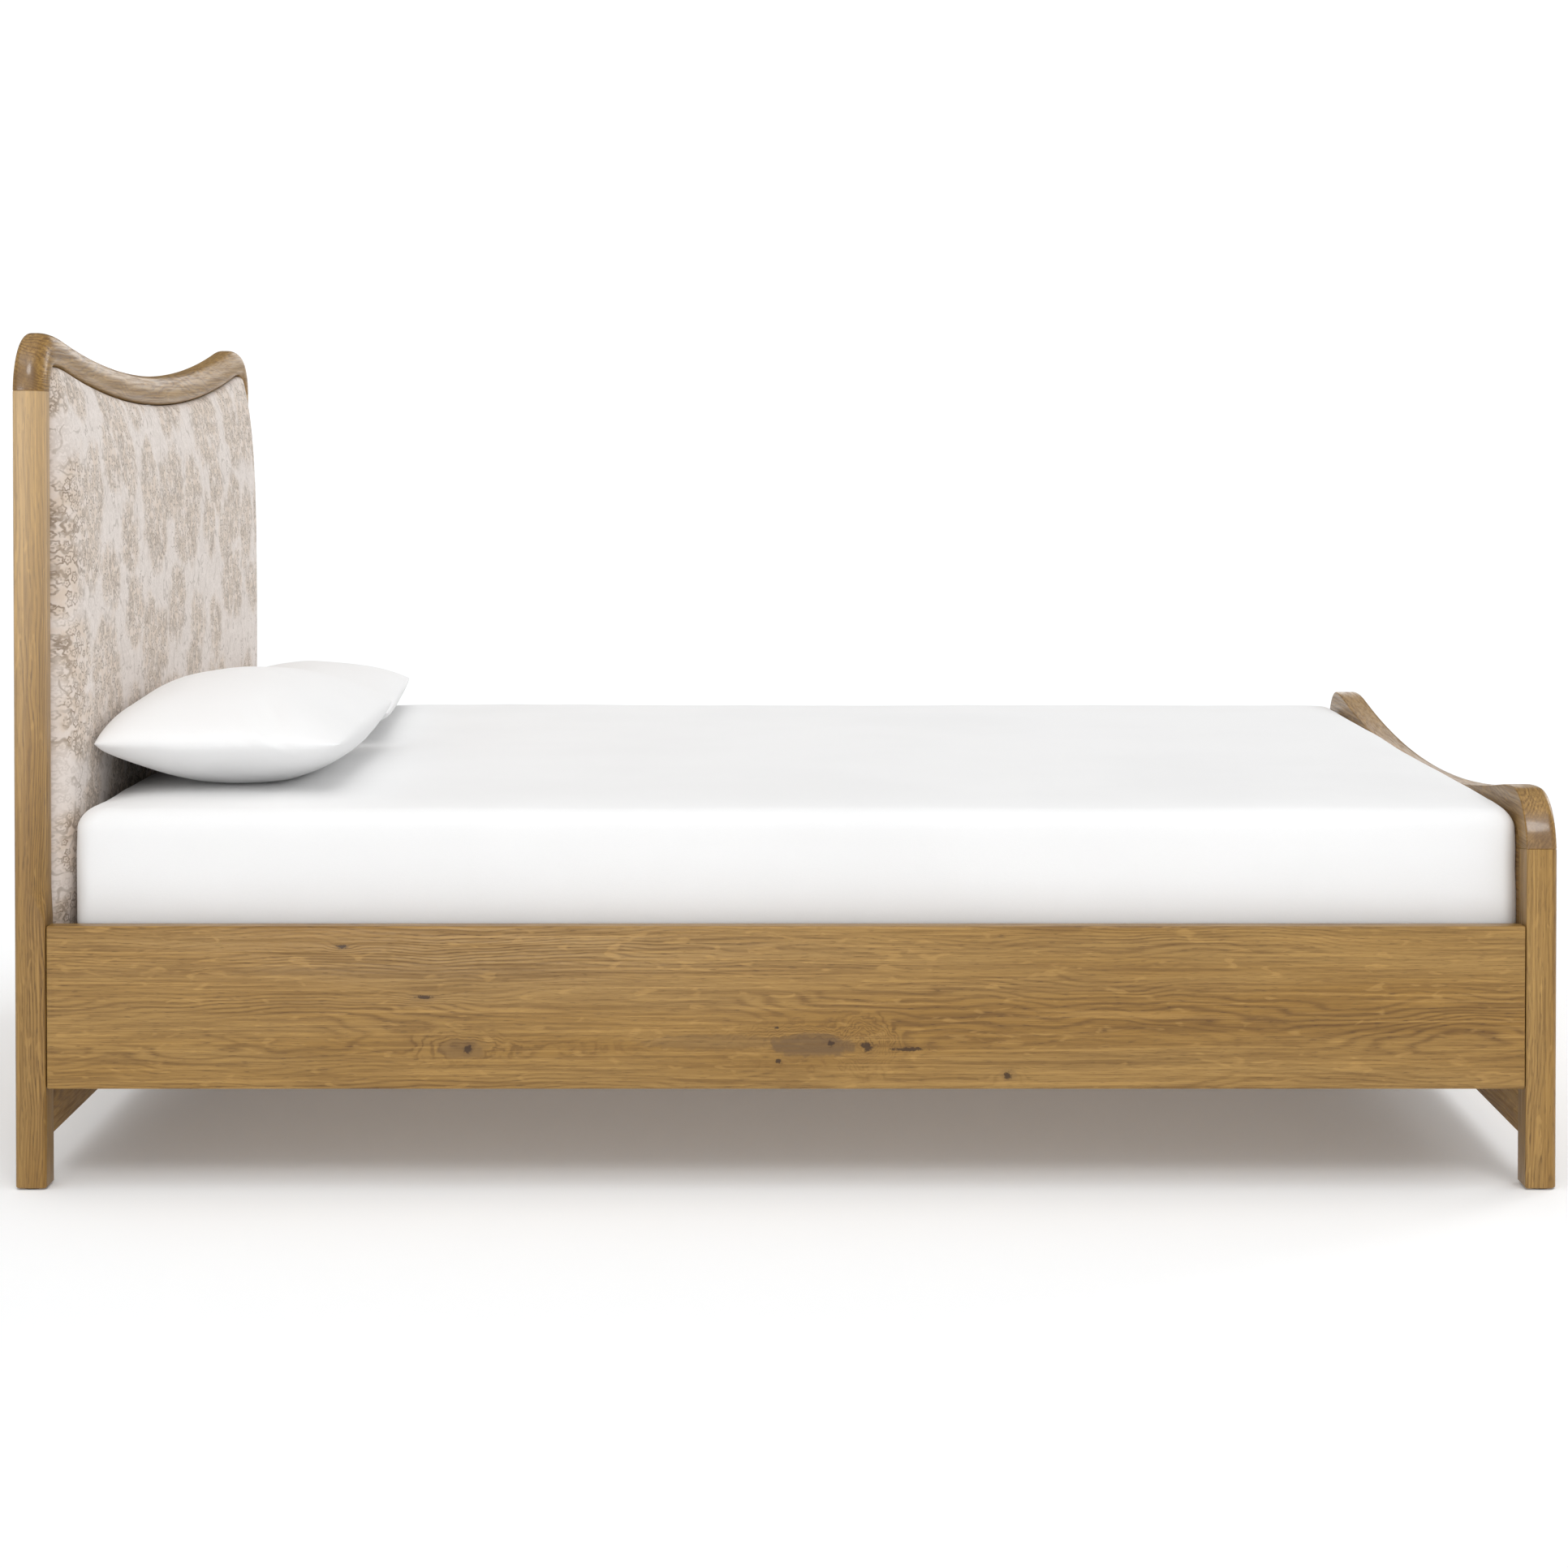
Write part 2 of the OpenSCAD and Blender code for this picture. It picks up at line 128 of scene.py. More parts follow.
class OakFinish(bpy.types.PropertyGroup):
    """Colours and figure of the oak."""

    light: colour("Light wood", "Pale wood between the rings", (0.375, 0.222, 0.066))
    golden: colour("Golden wood", "Warmer patches", (0.325, 0.176, 0.038))
    dark: colour("Ring", "Dark lines of the annual rings", (0.120, 0.054, 0.011))
    pore: colour("Pore", "Open pores and short checks", (0.062, 0.028, 0.010))
    knot: colour("Knot", "Heart of a knot", (0.040, 0.018, 0.007))
    stain: colour("Stain", "Brown wood round a knot", (0.130, 0.075, 0.034))
    # Painted sheen: a whitish colour mixed into the upper headboard posts in place of a reflection
    painted_sheen: colour("Painted sheen", "Whitish colour of the painted sheen", (0.80, 0.68, 0.52))
    ring: length("Ring pitch", "Distance from one annual ring to the next", 0.0046)
    gloss: share("Roughness", "Roughness of the lacquer", 0.36)
    ends: share("End grain", "How much darker the lacquer turns end grain", 0.58)
    polish: share("Polish", "How much smoother the lacquer lies on end grain", 1.0)


class PrintedLinen(bpy.types.PropertyGroup):
    """Print and shape of the headboard's fabric."""

    ground: colour("Ground", "Unprinted linen", (0.775, 0.695, 0.64))
    line: colour("Line", "Engraved lines of the flowers", (0.235, 0.165, 0.105))
    tint: colour("Tint", "Warm wash under the flowers", (0.58, 0.42, 0.270))
    blossom: length("Blossom", "Distance between flower heads", 0.0145)
    cluster: length("Cluster", "Distance between sprays of flowers", 0.125)
    edge: length("Edge", "Height of the tight roll at the fabric's edge", 0.006)
    crown: length("Crown", "Height of the soft crown above the edge", 0.0345)
    side: length("Side reach", "Distance over which the crown rises from the posts", 0.022)
    reach: length("Top reach", "Distance over which the crown rises from the crest rail", 0.09)


class BeddingShape(bpy.types.PropertyGroup):
    """Mattress, sheet and pillows."""

    cotton: colour("Cotton", "White cotton of the sheet and pillows", (0.86, 0.86, 0.86))
    ticking: colour("Ticking", "Mattress cover", (0.80, 0.79, 0.77))
    corner: length("Corner", "Radius of the mattress's upright corners", 0.024)
    ears: length("Ears", "How far the corners at the head stand out beyond the end", 0.012)
    edge: length("Edge", "Radius of the mattress's top and bottom edges", 0.020)
    fullness: length("Fullness", "How far the mattress's top stands above its edges", 0.012)
    tuck: length("Tuck", "How far the fitted sheet is gathered under the mattress", 0.09)
    cloth: length("Sheet", "Thickness of the sheet", 0.0012)
    wrinkle: length("Wrinkle", "Height of the sheet's shallow wrinkles", 0.0016)
    pressure: FloatProperty(name="Pressure", description="Pressure that fills a pillow",
                            default=6.0)
    frames: IntProperty(name="Frames", description="Frames of the pillow's filling", default=24)
    give: length("Give", "How far a point of a pillow's cloth may move sideways", 0.004)
    sink: length("Sink", "How much of a pillow's underside is pressed flat", 0.014)


class FittingFinish(bpy.types.PropertyGroup):
    """Colours of the fittings and of the hidden timber."""

    zinc: colour("Zinc", "Zinc-plated steel", (0.62, 0.63, 0.65))
    yellow: colour("Passivated", "Yellow-passivated screws", (0.70, 0.58, 0.34))
    brass: colour("Brass", "Threaded inserts", (0.72, 0.52, 0.23))
    plastic: colour("Plastic", "Glides and feet", (0.030, 0.027, 0.025))
    pine: colour("Pine", "Softwood of beam, ledgers and battens", (0.67, 0.45, 0.24))
    birch: colour("Birch", "Slats", (0.72, 0.54, 0.34))


class StudioLook(bpy.types.PropertyGroup):
    """Camera, floor and lights."""

    lens: FloatProperty(name="Lens", description="Focal length", default=71.25, unit="CAMERA")
    setback: length("Setback", "Distance from the camera to the bed's near side", 4.32)
    height: length("Height", "Height of the camera above the floor", 1.097)
    aside: length("Aside", "How far the camera stands towards the foot", 0.021)
    pitch: FloatProperty(name="Pitch", description="Downward tilt", default=math.radians(1.0),
                         subtype="ANGLE")
    shift: share("Shift", "How far the view is shifted down", 0.2068)
    floor: colour("Floor", "Pale floor", (0.925, 0.935, 0.945))
    sky: share("Sky", "Strength of the soft light all round", 0.50, 5.0)
    backdrop: share("Backdrop", "Brightness of the backdrop itself", 1.1, 5.0)
    flag: share("Flag", "How much a dark cloth beyond the bed takes from the sky", 0.38)
    strip: share("Strip", "Strength of the low panel behind the bed", 2.2, 9.0)
    window: share("Window", "Strength of the small panel beyond the bed's foot", 6.5, 9.0)
    softbox: share("Softbox", "Strength of the wide panel above the camera", 0.45, 9.0)
    card: share("Card", "Strength of the small panel beside the camera", 7.0, 9.0)
    overhead: share("Overhead", "Strength of the broad light above the bed", 0.88, 20.0)
    key: share("Key", "Strength of the light above the camera", 0.55, 20.0)


SETTINGS = {
    "bed_frame_shape": EndFrameShape,
    "bed_oak": OakFinish,
    "bed_linen": PrintedLinen,
    "bed_bedding": BeddingShape,
    "bed_fittings": FittingFinish,
    "bed_studio": StudioLook,
}


# ---------------------------------------------------------------------------
# Shader trees
# ---------------------------------------------------------------------------


class Finish:
    """A material's shader tree, with short calls that add its nodes and link them."""

    def __init__(self, name, roughness=0.5, **sockets):
        self.material = bpy.data.materials.new(name)
        self.material.use_nodes = True
        self.tree = self.material.node_tree
        self.surface = self.tree.nodes["Principled BSDF"]
        self.feed(self.surface.inputs["Roughness"], roughness)
        for socket, value in sockets.items():
            self.feed(self.surface.inputs[socket.replace("_", " ")], value)
        spots = self.node("ShaderNodeTexCoord").outputs
        self.place, self.facing = spots["Object"], spots["Normal"]

    def feed(self, socket, value):
        if isinstance(value, bpy.types.NodeSocket):
            self.tree.links.new(value, socket)
        elif socket.type == "RGBA" and len(value) == 3:
            socket.default_value = (*value, 1.0)
        else:
            socket.default_value = value

    def node(self, kind, feeds=None, **settings):
        made = self.tree.nodes.new(kind)
        for key, value in settings.items():
            setattr(made, key, value)
        for socket, value in (feeds or {}).items():
            self.feed(made.inputs[socket], value)
        return made

    def math(self, operation, *values, clamp=False):
        feeds = dict(enumerate(values))
        return self.node("ShaderNodeMath", feeds, operation=operation, use_clamp=clamp).outputs[0]

    def vector(self, operation, *values):
        made = self.node("ShaderNodeVectorMath", operation=operation)
        for place, value in enumerate(values):
            self.feed(made.inputs["Scale" if operation == "SCALE" and place else place], value)
        return made.outputs["Vector"]

    def noise(self, place, stretch, detail=2.0, roughness=0.5, distortion=0.0):
        """Smooth noise from 0 to 1, with so many waves per metre along each axis."""
        spread = self.vector("MULTIPLY", place, stretch)
        feeds = {"Vector": spread, "Scale": 1.0, "Detail": detail, "Roughness": roughness,
                 "Distortion": distortion}
        return self.node("ShaderNodeTexNoise", feeds).outputs[0]

    def span(self, value, low, high, start=0.0, end=1.0, smooth=True):
        """value from low to high becomes start to end, and stays there past both."""
        feeds = {0: value, 1: low, 2: high, 3: start, 4: end}
        kind = "SMOOTHSTEP" if smooth else "LINEAR"
        return self.node("ShaderNodeMapRange", feeds, interpolation_type=kind).outputs[0]

    def mix(self, factor, first, second, blend="MIX"):
        made = self.node("ShaderNodeMix", data_type="RGBA", blend_type=blend)
        for socket, value in ((0, factor), (6, first), (7, second)):
            self.feed(made.inputs[socket], value)
        return made.outputs[2]

    def axes(self, place):
        return self.node("ShaderNodeSeparateXYZ", {0: place}).outputs

    def joined(self, x, y, z=0.0):
        return self.node("ShaderNodeCombineXYZ", {0: x, 1: y, 2: z}).outputs[0]

    def bump(self, height, distance, strength=1.0):
        feeds = {"Height": height, "Distance": distance, "Strength": strength}
        self.feed(self.surface.inputs["Normal"], self.node("ShaderNodeBump", feeds).outputs[0])

    def colour(self, value):
        self.feed(self.surface.inputs["Base Color"], value)

    def roughness(self, value):
        self.feed(self.surface.inputs["Roughness"], value)


GRAIN_TURN = {"X": (0.0, 0.0, 0.0), "Y": (0.0, 0.0, -math.pi / 2), "Z": (0.0, math.pi / 2, 0.0)}


def wood(name, grain, pith, palette, ring, gloss, knots=None, tone=None, ends=0.3, polish=0.0):
    """Solid timber cut from a log: grain is the axis that its fibres run along.

    pith is where the log's heart lies: along the grain, and on the two axes across it.
    knots are their figures (along, rise, half length, half height, stain) and their
    hearts (the same without a stain). tone is painted light along the grain: two places,
    a factor that lightens or darkens each, and how far the second is whitened by painted
    sheen. ends is how much darker end grain is, and polish is how glossy it is.
    """
    made = Finish(name, gloss, Specular_IOR_Level=0.35, Coat_Roughness=0.16)
    feeds = {"Vector": made.place, "Rotation": GRAIN_TURN[grain], "Location": [-p for p in pith]}
    log = made.node("ShaderNodeMapping", feeds, vector_type="POINT").outputs[0]
    along, depth, height = made.axes(log)
    light, golden, dark, pore = (palette[key] for key in ("light", "golden", "dark", "pore"))

    # Annual rings, wandering and drifting off the pith so that they rise in cathedrals
    wander = made.noise(log, (1.9, 9.0, 9.0), 3.0, 0.55)
    ripple = made.noise(log, (9.0, 55.0, 55.0), 2.0)
    radius = made.math("SQRT", made.math("ADD", made.math("POWER", depth, 2.0),
                                         made.math("POWER", height, 2.0)))
    radius = made.math("ADD", radius, made.math("MULTIPLY", wander, 0.075))
    radius = made.math("ADD", radius, made.math("MULTIPLY", ripple, 0.0035))
    radius = made.math("ADD", radius, made.math("MULTIPLY", along, 0.008))

    # Knots stain the wood round a dark heart and push the rings aside
    wobble = made.math("MULTIPLY_ADD", made.noise(log, (70.0, 70.0, 70.0), 2.0), 0.9, -0.45)
    ragged = made.math("MULTIPLY_ADD", made.noise(log, (240.0, 240.0, 240.0), 2.0), 2.0, -1.0)

    def away(at, rise, half_length, half_height, unevenness):
        """Distance from a knot, which is 1 at its rim."""
        x = made.math("DIVIDE", made.math("SUBTRACT", along, at), half_length)
        z = made.math("DIVIDE", made.math("SUBTRACT", height, rise), half_height)
        both = made.math("ADD", made.math("POWER", x, 2.0), made.math("POWER", z, 2.0))
        return made.math("ADD", made.math("SQRT", both), unevenness)

    heart, stain, push = 0.0, 0.0, 0.0
    figures, hearts = knots or ((), ())
    for *place, depth_of_stain in figures:
        rim = away(*place, wobble)
        stain = made.math("MAXIMUM", stain, made.span(rim, 0.70, 1.15, depth_of_stain, 0.0))
        push = made.math("ADD", push, made.span(rim, 0.2, 2.6, place[3], 0.0))
    for place in hearts:
        core = made.span(away(*place, ragged), 0.60, 1.30, 1.0, 0.0)
        heart = made.math("MAXIMUM", heart, core)
    radius = made.math("ADD", radius, made.math("MULTIPLY", push, 1.25))

    turn = made.math("MULTIPLY", made.math("FRACT", made.math("DIVIDE", radius, ring)), math.tau)
    line = made.math("POWER", made.math("MULTIPLY_ADD", made.math("COSINE", turn), 0.5, 0.5), 2.2)
    strong = made.span(made.noise(log, (1.4, 16.0, 16.0), 2.0), 0.36, 0.66, 0.16, 1.0)
    line = made.math("MULTIPLY", line, strong)

    # Fibres, pores and the bright flecks of quarter-sawn oak
    fibre = made.span(made.noise(log, (7.0, 260.0, 260.0), 4.0, 0.6), 0.40, 0.70)
    fine = made.noise(log, (30.0, 900.0, 900.0), 3.0, 0.6)
    dash = made.span(made.noise(log, (55.0, 700.0, 700.0), 1.0), 0.58, 0.68)
    dash = made.math("MULTIPLY", dash, made.math("MULTIPLY_ADD", line, 0.6, 0.4))
    fleck = made.span(made.noise(log, (26.0, 210.0, 95.0), 1.0, 0.5, 0.6), 0.62, 0.73)
    patch = made.span(made.noise(log, (1.1, 11.0, 11.0), 3.0), 0.36, 0.66)
    band = made.span(made.noise(log, (0.7, 42.0, 42.0), 2.0), 0.56, 0.72)
    pale = made.span(made.noise(log, (3.2, 220.0, 220.0), 2.0), 0.53, 0.70)

    shade = made.mix(patch, light, golden)
    shade = made.mix(made.math("MULTIPLY", band, 0.26), shade, dark)
    shade = made.mix(made.math("MULTIPLY", line, 0.66), shade, dark)
    shade = made.mix(made.math("MULTIPLY", fibre, 0.46), shade, dark)
    for bright, amount, gain in ((pale, 0.40, 1.45), (fleck, 0.34, 1.5)):
        lighter = [min(1.0, c * gain) for c in light]
        shade = made.mix(made.math("MULTIPLY", bright, amount), shade, lighter)
    shade = made.mix(made.math("MULTIPLY", dash, 0.62), shade, pore)
    shade = made.mix(made.span(fine, 0.3, 0.7, 0.0, 0.24), shade, dark)
    if knots:
        streaky = made.span(fibre, 0.0, 1.0, 1.0, 0.62, smooth=False)
        shade = made.mix(made.math("MULTIPLY", stain, streaky), shade, palette["stain"])
        shade = made.mix(made.math("MULTIPLY", heart, 0.88), shade, palette["knot"])
    # Painted light and painted sheen: along the grain the colour is scaled lighter towards one
    # place, as if light fell there, and mixed towards the whitish painted sheen
    if tone:
        first, last, start, end, painted_sheen_share = tone
        spot = made.axes(made.place)["XYZ".index(grain)]
        shade = made.vector("SCALE", shade, made.span(spot, first, last, start, end))
        shade = made.mix(made.span(spot, first, last, 0.0, painted_sheen_share), shade, palette["painted_sheen"])

    # End grain drinks more lacquer: it is darker, and shinier once polished
    cut = made.math("ABSOLUTE", made.axes(made.facing)["XYZ".index(grain)])
    cut = made.math("MULTIPLY", made.span(cut, 0.66, 0.86), ends)
    cloud = made.span(made.noise(made.place, (38.0, 38.0, 38.0), 3.0), 0.3, 0.7, 0.7, 1.3)
    shade = made.mix(made.math("MULTIPLY", cut, cloud, clamp=True), shade, dark)
    made.colour(shade)
    worn = made.span(fibre, 0.0, 1.0, gloss - 0.05, gloss + 0.10, smooth=False)
    made.roughness(worn)
    if polish:
        coat = made.math("MULTIPLY", made.math("DIVIDE", cut, ends), polish)
        made.feed(made.surface.inputs["Coat Weight"], coat)
    relief = made.math("ADD", made.math("MULTIPLY", fine, 0.5), made.math("MULTIPLY", dash, -0.8))
    relief = made.math("ADD", relief, made.math("MULTIPLY", line, -0.5))
    made.bump(relief, 0.00035, 0.5)
    return made.material


def oak(name, grain, pith=(0.0, 0.0, 0.0), knots=None, tone=None):
    """Lacquered oak, with its grain along an axis."""
    look = bpy.context.scene.bed_oak
    names = ("light", "golden", "dark", "pore", "knot", "stain", "painted_sheen")
    palette = {key: getattr(look, key) for key in names}
    return wood(name, grain, pith, palette, look.ring, look.gloss, knots, tone, look.ends,
                look.polish)


def plain_timber(name, grain, base, pith, ring=0.005):
    """Unfinished softwood or birch, with its grain along an axis."""
    fades = {"golden": (0.96, 0.90, 0.80), "dark": (0.60, 0.44, 0.30), "pore": (0.50, 0.34, 0.22)}
    palette = {key: [c * f for c, f in zip(base, fade)] for key, fade in fades.items()}
    return wood(name, grain, pith, {"light": base, **palette}, ring, 0.62)


def plated_metal(name, base, roughness=0.34):
    """Plated steel or brass with faint brushing and handling marks."""
    made = Finish(name, roughness, Metallic=1.0)
    cloud = made.noise(made.place, (60.0, 60.0, 60.0), 4.0, 0.6)
    brush = made.noise(made.place, (900.0, 900.0, 60.0), 2.0)
    made.colour(made.mix(made.span(cloud, 0.35, 0.7), base, [c * 0.78 for c in base]))
    made.roughness(made.span(cloud, 0.3, 0.7, roughness - 0.08, roughness + 0.14, smooth=False))
    made.bump(made.math("ADD", made.math("MULTIPLY", brush, 0.6), cloud), 0.0001, 0.5)
    return made.material


def moulded_plastic(name, base):
    """Dark moulded plastic with a fine spark-eroded grain."""
    made = Finish(name, 0.55)
    grain = made.noise(made.place, (1300.0, 1300.0, 1300.0), 2.0)
    scuff = made.span(made.noise(made.place, (90.0, 90.0, 90.0), 3.0), 0.55, 0.75)
    made.colour(made.mix(made.math("MULTIPLY", scuff, 0.4), base, [c * 2.2 for c in base]))
    made.roughness(made.span(scuff, 0.0, 1.0, 0.50, 0.66, smooth=False))
    made.bump(grain, 0.0002, 0.6)
    return made.material


def white_cotton(name, base, tone=0.97):
    """Plain-woven cotton with a soft crease pattern and a fine weave."""
    made = Finish(name, 0.82, Sheen_Weight=0.18, Sheen_Roughness=0.55)
    warp = made.noise(made.place, (240.0, 1500.0, 1500.0), 2.0)
    weft = made.noise(made.place, (1500.0, 240.0, 1500.0), 2.0)
    cloud = made.noise(made.place, (3.0, 3.0, 3.0), 3.0)
    weave = made.math("MULTIPLY", warp, weft)
    shade = made.mix(made.span(cloud, 0.3, 0.7), base, [c * tone for c in base])
    made.colour(made.mix(made.span(weave, 0.15, 0.4, 0.06, 0.0), shade, [c * 0.8 for c in base]))
    made.roughness(made.span(weave, 0.15, 0.4, 0.88, 0.78, smooth=False))
    made.bump(weave, 0.0004, 0.45)
    return made.material


def quilted_ticking(name, base):
    """Mattress cover, quilted in a diamond pattern."""
    made = Finish(name, 0.85, Sheen_Weight=0.2)
    x, y, _ = made.axes(made.place)
    ridges = [made.math("ABSOLUTE", made.math("SINE", made.math("MULTIPLY", course, 26.0)))
              for course in (made.math("ADD", x, y), made.math("SUBTRACT", x, y))]
    quilt = made.math("MINIMUM", made.span(ridges[0], 0.0, 0.5), made.span(ridges[1], 0.0, 0.5))
    # Painted shade: the ticking is darkened along the quilting's stitched grooves
    groove_shade = made.math("SUBTRACT", 1.0, made.span(quilt, 0.0, 0.12))
    weave = made.noise(made.place, (700.0, 700.0, 700.0), 2.0)
    shade = made.mix(made.math("MULTIPLY", groove_shade, 0.35), base, [c * 0.6 for c in base])
    made.colour(made.mix(made.span(weave, 0.4, 0.7, 0.0, 0.1), shade, [c * 0.7 for c in base]))
    made.bump(made.math("ADD", quilt, made.math("MULTIPLY", weave, 0.05)), 0.006, 0.7)
    return made.material


def open_foam(name):
    """Cut upholstery foam with open cells."""
    made = Finish(name, 0.95)
    cells = made.node("ShaderNodeTexVoronoi", {"Vector": made.place, "Scale": 420.0}).outputs[0]
    cloud = made.noise(made.place, (12.0, 12.0, 12.0), 3.0)
    base = made.mix(cloud, (0.80, 0.70, 0.44), (0.74, 0.62, 0.36))
    made.colour(made.mix(made.span(cells, 0.0, 0.5, 0.5, 0.0), base, (0.48, 0.38, 0.20)))
    made.bump(cells, 0.0008, 0.6)
    return made.material


def flower_print(name):
    """Linen printed with sprays of engraved roses and trailing stems."""
    look = bpy.context.scene.bed_linen
    made = Finish(name, 0.86, Sheen_Weight=0.25, Sheen_Roughness=0.5)
    _, across, up = made.axes(made.place)
    flat = made.joined(across, up)

    # Sprays: loose clusters of flowers with bare ground between them
    drift = made.joined(made.noise(flat, (7.0, 7.0, 1.0)), made.noise(flat, (7.0, 7.0, 9.0)))
    drift = made.vector("MULTIPLY", drift, (0.1, 0.1, 0.0))
    wandering = made.vector("ADD", flat, drift)
    feeds = {"Vector": wandering, "Scale": 1.0 / look.cluster, "Randomness": 0.75}
    spray = made.node("ShaderNodeTexVoronoi", feeds, voronoi_dimensions="2D").outputs["Distance"]
    ragged = made.noise(flat, (34.0, 34.0, 1.0), 3.0, 0.6)
    spray = made.math("ADD", spray, made.math("MULTIPLY", ragged, 0.42))
    inside = made.span(spray, 0.56, 0.80, 1.0, 0.0)

    # Flower heads: small broken rings round a dark eye, packed close
    def heads(size, random):
        feeds = {"Vector": flat, "Scale": 1.0 / size, "Randomness": random}
        cells = made.node("ShaderNodeTexVoronoi", feeds, voronoi_dimensions="2D")
        scaled = made.vector("MULTIPLY", flat, [1.0 / size] * 3)
        centre = made.vector("MULTIPLY", cells.outputs["Position"], [1.0 / size] * 3)
        x, y, _ = made.axes(made.vector("SUBTRACT", scaled, centre))
        lot = made.axes(cells.outputs["Color"])
        angle = made.math("MULTIPLY_ADD", made.math("ARCTAN2", y, x), 5.0,
                          made.math("MULTIPLY", lot[0], math.tau))
        lobe = made.math("MULTIPLY_ADD", made.math("SINE", angle), 0.16, 1.0)
        away = made.math("DIVIDE", cells.outputs["Distance"], lobe)
        rim = made.math("MULTIPLY_ADD", lot[1], 0.16, 0.26)
        ring = made.math("ABSOLUTE", made.math("SUBTRACT", away, rim))
        ring = made.span(ring, 0.04, 0.14, 1.0, 0.0)
        eye = made.span(away, 0.05, 0.15, 0.8, 0.0)
        return made.math("MAXIMUM", ring, eye)

    broken = made.span(made.noise(flat, (95.0, 95.0, 6.0), 2.0), 0.34, 0.48, 0.25, 1.0)
    petal = made.math("MULTIPLY", heads(look.blossom, 0.85), broken)
    rose = made.math("MULTIPLY", heads(look.blossom * 2.1, 0.7), 0.9)
    rose = made.math("MULTIPLY", rose, made.span(made.noise(flat, (13.0, 13.0, 7.0), 1.0),
                                                 0.48, 0.56))

    # Stems and sprigs that trail out of the sprays over the bare ground
    trail = made.math("SUBTRACT", made.noise(flat, (15.0, 15.0, 5.0), 2.0), 0.5)
    trail = made.math("ABSOLUTE", trail)
    stem = made.math("MULTIPLY", made.span(trail, 0.005, 0.02, 1.0, 0.0),
                     made.span(ragged, 0.40, 0.52))
    sprig = made.span(made.noise(flat, (21.0, 21.0, 4.0), 2.0), 0.60, 0.66)
    lines = made.math("MULTIPLY", made.math("MAXIMUM", petal, rose),
                      made.math("MAXIMUM", inside, made.math("MULTIPLY_ADD", sprig, 0.6, 0.25)))
    lines = made.math("MAXIMUM", lines, made.math("MULTIPLY", stem, 0.6))
    worn = made.span(made.noise(flat, (60.0, 60.0, 1.0), 2.0), 0.30, 0.65, 0.65, 1.0)
    lines = made.math("MULTIPLY", lines, worn)

    # Slubby plain weave
    warp = made.noise(flat, (1500.0, 110.0, 1.0), 2.0)
    weft = made.noise(flat, (110.0, 1500.0, 1.0), 2.0)
    weave = made.math("ADD", warp, weft)
    wash = made.span(made.noise(flat, (40.0, 40.0, 2.0), 3.0), 0.35, 0.60, 0.35, 1.0)
    shade = made.mix(made.math("MULTIPLY", made.math("MULTIPLY", inside, wash), 0.50),
                     look.ground, look.tint)
    shade = made.mix(made.math("MULTIPLY", lines, 0.92), shade, look.line)
    shade = made.mix(made.span(weave, 0.8, 1.2, 0.16, 0.0), shade, [c * 0.72 for c in look.ground])
    made.colour(shade)
    made.bump(weave, 0.0005, 0.5)
    return made.material


# ---------------------------------------------------------------------------
# Mesh makers
# ---------------------------------------------------------------------------


def finish_piece(piece, material):
    """Gives a piece this material and no other."""
    piece.data.materials.clear()
    piece.data.materials.append(material)


def dress(piece, body, material, replaced=()):
    """Gives a piece its body, slot and material, and the nodes that it stands for."""
    finish_piece(piece, material)
    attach(piece, body)
    if replaced:
        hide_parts(*replaced)
    return piece


def smooth(piece, angle=35.0):
    """Smooth shading that keeps edges sharper than an angle, in degrees, crisp."""
    piece.data.polygons.foreach_set("use_smooth", [True] * len(piece.data.polygons))
    piece.data.set_sharp_from_angle(angle=math.radians(angle))
    return piece


def add_mesh(name, points, faces):
    mesh = bpy.data.meshes.new(name)
    mesh.from_pydata([tuple(p) for p in points], [], faces)
    piece = bpy.data.objects.new(name, mesh)
    bpy.context.scene.collection.objects.link(piece)
    tidy = bmesh.new()
    tidy.from_mesh(mesh)
    bmesh.ops.remove_doubles(tidy, verts=tidy.verts, dist=1e-6)
    bmesh.ops.recalc_face_normals(tidy, faces=tidy.faces)
    tidy.to_mesh(mesh)
    tidy.free()
    return piece


def loft(name, rings, capped=True):
    """A skin over closed rings of equally many points, with a face on each end."""
    count = len(rings[0])
    points = [p for ring in rings for p in ring]
    faces = []
    for k in range(len(rings) - 1):
        for i in range(count):
            j = (i + 1) % count
            faces.append((k * count + i, k * count + j, (k + 1) * count + j, (k + 1) * count + i))
    if capped:
        faces.append(tuple(reversed(range(count))))
        faces.append(tuple((len(rings) - 1) * count + i for i in range(count)))
    return add_mesh(name, points, faces)


def turned(name, centre, profile, segments=40):
    """A solid of revolution about the upright axis through centre, from (radius, height)."""
    rings = [[(centre[0] + r * math.cos(math.tau * i / segments),
               centre[1] + r * math.sin(math.tau * i / segments), h) for i in range(segments)]
             for r, h in profile]
    return smooth(loft(name, rings))


def eased_board(name, low, high, easing, steps=3):
    """A sawn board with its arrises eased."""
    made = bmesh.new()
    bmesh.ops.create_cube(made, size=1.0)
    low, high = Vector(low), Vector(high)
    for v in made.verts:
        v.co = Vector(low[a] if v.co[a] < 0 else high[a] for a in range(3))
    bmesh.ops.bevel(made, geom=made.edges[:], offset=easing, segments=steps, profile=0.5,
                    affect="EDGES", clamp_overlap=True)
    mesh = bpy.data.meshes.new(name)
    made.to_mesh(mesh)
    made.free()
    piece = bpy.data.objects.new(name, mesh)
    bpy.context.scene.collection.objects.link(piece)
    return smooth(piece, 30.0)


